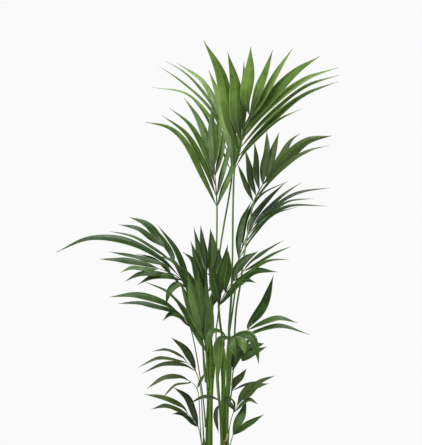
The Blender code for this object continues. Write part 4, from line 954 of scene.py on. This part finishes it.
def add_stalk(bm, route, foot, ups, thickness, tone, stations):
    """The stalk and midrib: rounded, with a channel along the upper side."""

    def place(u, v):
        i = min(round(v * stations), stations)
        length, direction, up = ups[i]
        share = min(length / foot, 1)
        beyond = max(0.0, (length - foot) / (route.length - foot)) if route.length > foot else 0
        reach = max(thickness / 2 * (1 - 0.3 * share) * (1 - 0.6 * beyond), 0.0009)
        angle = 2 * math.pi * u
        lift = math.sin(angle)
        channel = 1 - 0.30 * math.exp(-(((angle - math.pi / 2) / 0.55) ** 2))
        clasp = 1 + 0.35 * max(0, 1 - length / 0.05)
        side = direction.cross(up)
        return (route.point(length) + side * (math.cos(angle) * reach * clasp)
                + up * (lift * reach * channel * 0.9))

    def growth_and_shade(u, v):
        length = ups[min(round(v * stations), stations)][0]
        past = min(max((length - foot) / 0.02, 0), 1)
        # Past the foot the midrib gets a lower tone and the blue channel: painted shade where it runs among
        # the leaflets.
        return tone * (0.8 - 0.5 * past), 0.55 * math.exp(-length / 0.10), 0.55 * past, 1

    verts, _, _ = lay_grid(bm, STALK_SIDES, stations, place,
                           uv_of=lambda u, v: (u, v * route.length), growth_and_shade_of=growth_and_shade)
    close_tube(bm, verts, 0.00005)


def make_leaf(name, spec, finishes):
    """A whole leaf: its stalk and midrib, turned to face its way, with leaflets on both sides."""
    chance = random.Random(name)
    # painted_shade is how strongly painted shade darkens the leaflets towards the foot.
    finish, tone, painted_shade = FINISH[name]
    route, foot, upper, thickness = leaf_frame(spec)
    most = max(len(spec["right"]), len(spec["left"]))
    base = min(0.008, 0.55 * (route.length - foot) / most)
    pitch = (route.length - foot - base) / max(most - 1, 1)
    stations = max(24, round(route.length / 0.018))
    lengths = [route.length * i / stations for i in range(stations + 1)]
    directions = [route.direction(length, 0.006) for length in lengths]
    ups = carried(upper, directions)
    at_foot = min(range(stations + 1), key=lambda i: abs(lengths[i] - foot))
    wanted = square_to(compass(*spec["facing"]), directions[at_foot])
    side = directions[at_foot].cross(ups[at_foot])
    twist = math.atan2(wanted.dot(-side), wanted.dot(ups[at_foot]))
    framed = []
    for length, direction, up in zip(lengths, directions, ups):
        share = min(length / foot, 1)
        eased = share * share * (3 - 2 * share)
        framed.append((length, direction, (Matrix.Rotation(-twist * eased, 3, direction) @ up).normalized()))

    bm = bmesh.new()
    add_stalk(bm, route, foot, framed, thickness, 0.5 + 0.3 * (tone - 0.4), stations)
    stalk_faces = len(bm.faces)
    for mirrored, leaflets in ((False, spec["right"]), (True, spec["left"])):
        for place, leaflet in zip(slots(len(leaflets), most), leaflets):
            length = foot + pitch * place + base / 2
            _, along, up = framed[min(range(stations + 1), key=lambda i: abs(lengths[i] - length))]
            beyond = max(0.0, (length - foot) / (route.length - foot))
            reach = max(thickness / 2 * 0.7 * (1 - 0.6 * beyond), 0.0009)
            outward = along.cross(up) * (-1 if mirrored else 1)
            root = route.point(length) + outward * reach * 0.5
            add_leaflet(bm, root, along, up, mirrored, leaflet, tone, painted_shade, chance)
    bm.faces.ensure_lookup_table()
    for face in bm.faces[stalk_faces:]:
        face.material_index = 1
    return new_piece(f"palm_{name}", bm, (finishes["stalk"], finishes[finish]), (name,))


# ---- stems, soil and pot ------------------------------------------------------------------------


def make_stem(name, points, radii, finishes):
    """Rolled leaf sheaths: a bundle of rounded strands with creases between them."""
    chance = random.Random(name)
    route = stem_route(points)
    strands = 5 if radii[0] > 0.9 else 3
    sides, stations = 60 if strands == 5 else 36, max(30, round(route.length / 0.005))
    offsets = [chance.uniform(-0.5, 0.5) for _ in range(strands)]
    lean = chance.uniform(0.6, 1.4) * chance.choice((-1, 1))
    lengths = [route.length * i / stations for i in range(stations + 1)]
    frames = [(length, route.direction(length)) for length in lengths]

    def strand_at(angle, length):
        """The number of the strand here, and 0 on its back to 1 in the crease beside it."""
        turn = angle / (2 * math.pi) * strands + lean * length + 0.25 * math.sin(9 * length + offsets[0] * 6)
        return int(turn % strands), abs(2 * (turn % 1) - 1) ** 5

    def place(u, v):
        length, direction = frames[min(round(v * stations), stations)]
        across = square_to(Vector((1, 0, 0)), direction)
        angle = 2 * math.pi * u
        out = across * math.cos(angle) + direction.cross(across) * math.sin(angle)
        near_top = max(0, 1 - (route.length - length) / SHEATH_TIP)
        radius = stem_radius(radii, route, length) * (1 - 0.66 * near_top**1.7)
        strand, crease = strand_at(angle, length)
        swell = 1.03 + 0.03 * offsets[strand] - 0.13 * crease
        grain = Vector((math.cos(angle) * 4, math.sin(angle) * 4, length * 9 + offsets[0]))
        fine = 0.012 * noise.noise(grain)
        return route.point(length) + out * radius * (swell + fine)

    def growth_and_shade(u, v):
        length = frames[min(round(v * stations), stations)][0]
        above = length - 0.04
        age = 0.95 * math.exp(-max(above, 0) / 0.028)
        # The crease share goes to the blue channel, which the finish darkens as painted shade.
        strand, crease = strand_at(2 * math.pi * u, length)
        tone = 0.42 + 0.25 * min(max(above / 0.35, 0), 1) + 0.5 * offsets[strand]
        return tone, age, crease, 1

    bm = bmesh.new()
    verts, _, _ = lay_grid(bm, sides, stations, place,
                           uv_of=lambda u, v: (u, v * route.length), growth_and_shade_of=growth_and_shade)
    close_tube(bm, verts, 0.00004)
    return new_piece(f"sheathed_stem_{name}", bm, (finishes["sheath"],), (f"stem_{name}",))


def make_old_stalk(finishes):
    """The dry foot of an old stalk, shrunken and ragged where it broke off."""
    stem, seat, points, size = OLD_STALK
    thickness = STALK_THICKNESS * size
    held, upper = seated(stem, seat, thickness)
    route = Route([*held, *(in_place(point) for point in points)])
    stations = 24
    directions = [route.direction(route.length * i / stations) for i in range(stations + 1)]
    ups = carried(upper, directions)

    def place(u, v):
        i = min(round(v * stations), stations)
        angle = 2 * math.pi * u
        side = directions[i].cross(ups[i])
        ragged = 0.0035 * noise.noise(Vector((math.cos(angle) * 2, math.sin(angle) * 2, 7))) * v**6
        reach = thickness / 2 * (1.05 - 0.2 * v + 0.08 * noise.noise(Vector((angle, v * 6, 3))))
        rim = 1 - 0.5 * max(0, v - 0.93) / 0.07
        return (route.point(route.length * v) + directions[i] * ragged
                + side * (math.cos(angle) * reach * rim) + ups[i] * (math.sin(angle) * reach * 0.75 * rim))

    bm = bmesh.new()
    verts, _, _ = lay_grid(bm, 18, stations, place)
    close_tube(bm, verts, 0.00004)
    return new_piece("dry_old_stalk", bm, (finishes["dry"],), ("old_stalk",))


def spun(outline, sides):
    """A bmesh spun from an outline of (radius, height), closed and merged."""
    bm = bmesh.new()
    corners = [bm.verts.new((radius, 0, height)) for radius, height in outline]
    for a, b in zip(corners, corners[1:]):
        bm.edges.new((a, b))
    bmesh.ops.spin(bm, geom=bm.verts[:] + bm.edges[:], cent=(0, 0, 0), axis=(0, 0, 1),
                   angle=2 * math.pi, steps=sides, use_merge=True)
    bmesh.ops.remove_doubles(bm, verts=bm.verts, dist=1e-6)
    return bm


def wall_radius(height, inside=0.0):
    share = height / (POT_HEIGHT - RIM_DEPTH)
    return POT_FOOT_RADIUS + (POT_TOP_RADIUS - POT_FOOT_RADIUS) * min(share, 1) - inside


def arc(centre, radius, start, end, steps):
    """Points (radius, height) on an arc, for a moulded corner."""
    turns = [math.radians(start + (end - start) * i / steps) for i in range(steps + 1)]
    return [(centre[0] + radius * math.cos(t), centre[1] + radius * math.sin(t)) for t in turns]


def make_pot(finishes):
    """A thin-walled nursery pot with moulded corners and a rolled rim."""
    rim, band = POT_TOP_RADIUS + RIM_OVERHANG, POT_HEIGHT - RIM_DEPTH
    inner_top = POT_TOP_RADIUS - POT_WALL
    inner_foot = wall_radius(POT_FLOOR, POT_WALL)
    outline = [(0, POT_FLOOR), (DRAIN_CIRCLE_RADIUS * 0.5, POT_FLOOR), (inner_foot - 0.003, POT_FLOOR)]
    outline += arc((inner_foot - 0.0025, POT_FLOOR + 0.0025), 0.0025, -80, 0, 4)
    outline += [(wall_radius(h, POT_WALL), h) for h in (0.05, 0.10, 0.15)]
    outline += [(inner_top, band), (inner_top, POT_HEIGHT - 0.003)]
    outline += arc((inner_top + 0.0016, POT_HEIGHT - 0.0016), 0.0016, 180, 90, 4)
    outline += arc((rim - 0.0016, POT_HEIGHT - 0.0016), 0.0016, 90, 0, 4)
    outline += [(rim, POT_HEIGHT - 0.006), (rim - 0.0004, POT_HEIGHT - 0.0068), (rim, POT_HEIGHT - 0.0076)]
    outline += arc((rim - 0.001, band + 0.001), 0.001, 0, -90, 3)
    outline += [(POT_TOP_RADIUS + 0.0006, band), (POT_TOP_RADIUS, band - 0.0008)]
    # Two shallow stiffening steps run round the wall.
    for step in (0.150, 0.075):
        for rise, sunk in ((0.006, 0), (0.004, 0.0007), (0, 0.0007), (-0.002, 0)):
            outline.append((wall_radius(step + rise) - sunk, step + rise))
    outline += [(wall_radius(0.012), 0.012)]
    outline += arc((wall_radius(0.0) - 0.0040, 0.0040), 0.0040, 0, -90, 5)
    outline += [(DRAIN_CIRCLE_RADIUS * 0.5, 0), (0, 0)]
    pot = new_piece("nursery_pot", spun(outline, 128), (finishes["pot"],), ("pot",))
    cut_drain_holes(pot)
    pot.data.set_sharp_from_angle(angle=math.radians(35))


def cut_drain_holes(pot):
    """Cuts a ring of holes through the floor and keeps the result as the pot's mesh."""
    cutters = bmesh.new()
    for hole in range(DRAIN_HOLES):
        middle = compass(360 * (hole + 0.5) / DRAIN_HOLES) * DRAIN_CIRCLE_RADIUS
        bmesh.ops.create_cone(cutters, cap_ends=True, segments=32, radius1=DRAIN_HOLE_RADIUS,
                              radius2=DRAIN_HOLE_RADIUS, depth=4 * POT_FLOOR,
                              matrix=Matrix.Translation(middle))
    mesh = bpy.data.meshes.new("drain_holes")
    cutters.to_mesh(mesh)
    cutters.free()
    cutter = bpy.data.objects.new("drain_holes", mesh)
    bpy.context.scene.collection.objects.link(cutter)
    modifier = pot.modifiers.new("drain holes", "BOOLEAN")
    modifier.operation, modifier.solver, modifier.object = "DIFFERENCE", "EXACT", cutter
    bpy.context.view_layer.update()
    cut = pot.evaluated_get(bpy.context.evaluated_depsgraph_get())
    pot_mesh = bpy.data.meshes.new_from_object(cut)
    pot.modifiers.clear()
    pot.data = pot_mesh
    bpy.data.objects.remove(cutter)


def mound(radius):
    return MOUND_HEIGHT * math.exp(-2.2 * (radius / MOUND_RADIUS) ** 2)


def soil_height(x, y):
    radius = math.hypot(x, y)
    rough = 0.0030 * noise.noise(Vector((x * 45, y * 45, 1)))
    rough += 0.0016 * noise.noise(Vector((x * 160, y * 160, 5)))
    return SOIL_TOP + mound(radius) + rough


def make_soil(finishes):
    """The potting mix: flat underneath, lumpy and mounded round the stems on top."""
    floor = POT_FLOOR + CLEARANCE
    foot = wall_radius(POT_FLOOR, POT_WALL) - FOOT_ROUNDING / 2 - 2 * CLEARANCE
    edge = wall_radius(SOIL_TOP, POT_WALL) - 2 * CLEARANCE
    outline = [(0, floor), (foot, floor), (foot + FOOT_ROUNDING / 2, floor + FOOT_ROUNDING)]
    outline += [(edge, SOIL_TOP - 0.004)]
    outline += [(edge * (1 - i / 46), SOIL_TOP) for i in range(0, 46)] + [(0, SOIL_TOP)]
    bm = spun(outline, 144)
    for vert in bm.verts:
        if vert.co.z > SOIL_TOP - 0.001:
            vert.co.z = soil_height(vert.co.x, vert.co.y)
    return new_piece("potting_mix", bm, (finishes["peat"],), ("soil",))


def make_crumbs(finishes):
    """Loose peat lumps, bark chips and a little perlite on the soil's surface."""
    chance = random.Random(11)
    bm = bmesh.new()
    for _ in range(CRUMBS):
        radius = CRUMB_REACH * math.sqrt(chance.random())
        angle = chance.uniform(0, 2 * math.pi)
        x, y = radius * math.cos(angle), radius * math.sin(angle)
        kind = 2 if chance.random() < 0.06 else 1 if chance.random() < 0.35 else 0
        size = chance.uniform(0.0009, 0.0026) * (1.4 if kind == 1 else 1)
        flat = 0.45 if kind == 1 else 0.8
        turn = Matrix.Rotation(chance.uniform(0, 6.3), 4, "Z")
        turn = turn @ Matrix.Rotation(chance.uniform(-0.5, 0.5), 4, "X")
        long = chance.uniform(1, 2.2 if kind == 1 else 1.3)
        place = Matrix.Translation((x, y, soil_height(x, y) + size * flat * 0.3)) @ turn
        place = place @ Matrix.Diagonal((size * long, size, size * flat, 1))
        made = bmesh.ops.create_icosphere(bm, subdivisions=1, radius=1, matrix=place)["verts"]
        for vert in made:
            vert.co += Vector([chance.uniform(-0.22, 0.22) * size for _ in range(3)])
        for face in {face for vert in made for face in vert.link_faces}:
            face.material_index = kind
    materials = (finishes["peat crumb"], finishes["bark"], finishes["perlite"])
    return new_piece("soil_crumbs", bm, materials, smooth=False)


# ---- floor, light and camera --------------------------------------------------------------------


def make_stage():
    """A round pale floor, a white room and soft lamps."""
    bm = bmesh.new()
    bmesh.ops.create_circle(bm, cap_ends=True, segments=96, radius=3.0)
    mesh = bpy.data.meshes.new("studio_floor")
    bm.to_mesh(mesh)
    bm.free()
    floor = bpy.data.objects.new("studio_floor", mesh)
    bpy.context.scene.collection.objects.link(floor)
    mesh.materials.append(floor_finish())

    # The room is white to look at, and gives the plant less light than the lamps do.
    world = bpy.data.worlds.new("studio")
    world.use_nodes = True
    tree = world.node_tree
    seen = add(tree, "LightPath", "Is Camera Ray")
    strength = add(tree, "MapRange", Value=seen, To_Min=ROOM_LIGHT, To_Max=1.0)
    tree.nodes["Background"].inputs["Color"].default_value = linear("#fafafa")
    tree.links.new(strength, tree.nodes["Background"].inputs["Strength"])
    bpy.context.scene.world = world
    bpy.context.scene.view_settings.view_transform = "Standard"

    for name, place, size, power in LAMPS:
        light = bpy.data.lights.new(name, "AREA")
        light.shape, light.size, light.energy = "SQUARE", size, power
        lamp = bpy.data.objects.new(name, light)
        lamp.location = place
        lamp.rotation_euler = (Vector((0, 0, 1.0)) - lamp.location).to_track_quat("-Z", "Y").to_euler()
        bpy.context.scene.collection.objects.link(lamp)


def make_camera():
    """Level with the middle of the plant, far enough off that the stems stay upright."""
    away, height, seen = 10.0, 0.9954, 1.491
    data = bpy.data.cameras.new("camera")
    data.sensor_width = 36
    data.lens = 36 * away / seen
    camera = bpy.data.objects.new("camera", data)
    camera.location = (-0.0201, -away, height)
    camera.rotation_euler = (math.radians(90), 0, 0)
    bpy.context.scene.collection.objects.link(camera)
    bpy.context.scene.camera = camera


# ---- build --------------------------------------------------------------------------------------

finishes = {
    "fresh": leaflet_finish("Kentia leaflet, young upper leaf",
                            "#294c0d", "#73933f", "#98b062", "#8fc034", 0.42),
    "mature": leaflet_finish("Kentia leaflet, full-grown", "#1b3609", "#557731", "#80a04c", "#7cac2c", 0.40),
    # The shaded copy is darker green to paint shade on leaves that lie in shade.
    "shaded": leaflet_finish("Kentia leaflet, older lower leaf, darkened as painted shade",
                             "#172808", "#4b6124", "#6a7c3e", "#6a8c26", 0.47),
    "stalk": stalk_finish("Palm stalk, living", "#284c0c", "#678634", "#6b5637"),
    "sheath": stalk_finish("Palm leaf sheath, living", "#1a3e02", "#5c8614", "#5d4a2d"),
    "dry": dry_finish(),
    "peat": peat_finish(),
    "peat crumb": crumb_finish("Peat crumb", "#20160e", "#4d3826"),
    "bark": crumb_finish("Composted bark chip", "#3a2415", "#7a5536"),
    "perlite": crumb_finish("Perlite grain", "#a8a49b", "#dedbd3"),
    "pot": pot_finish(),
}

make_camera()
make_stage()
make_pot(finishes)
make_soil(finishes)
make_crumbs(finishes)
for stem_name, (stem_points, stem_radii) in STEMS.items():
    make_stem(stem_name, stem_points, stem_radii, finishes)
make_old_stalk(finishes)
for leaf_name, leaf_spec in LEAVES.items():
    make_leaf(leaf_name, leaf_spec, finishes)

bpy.context.view_layer.update()
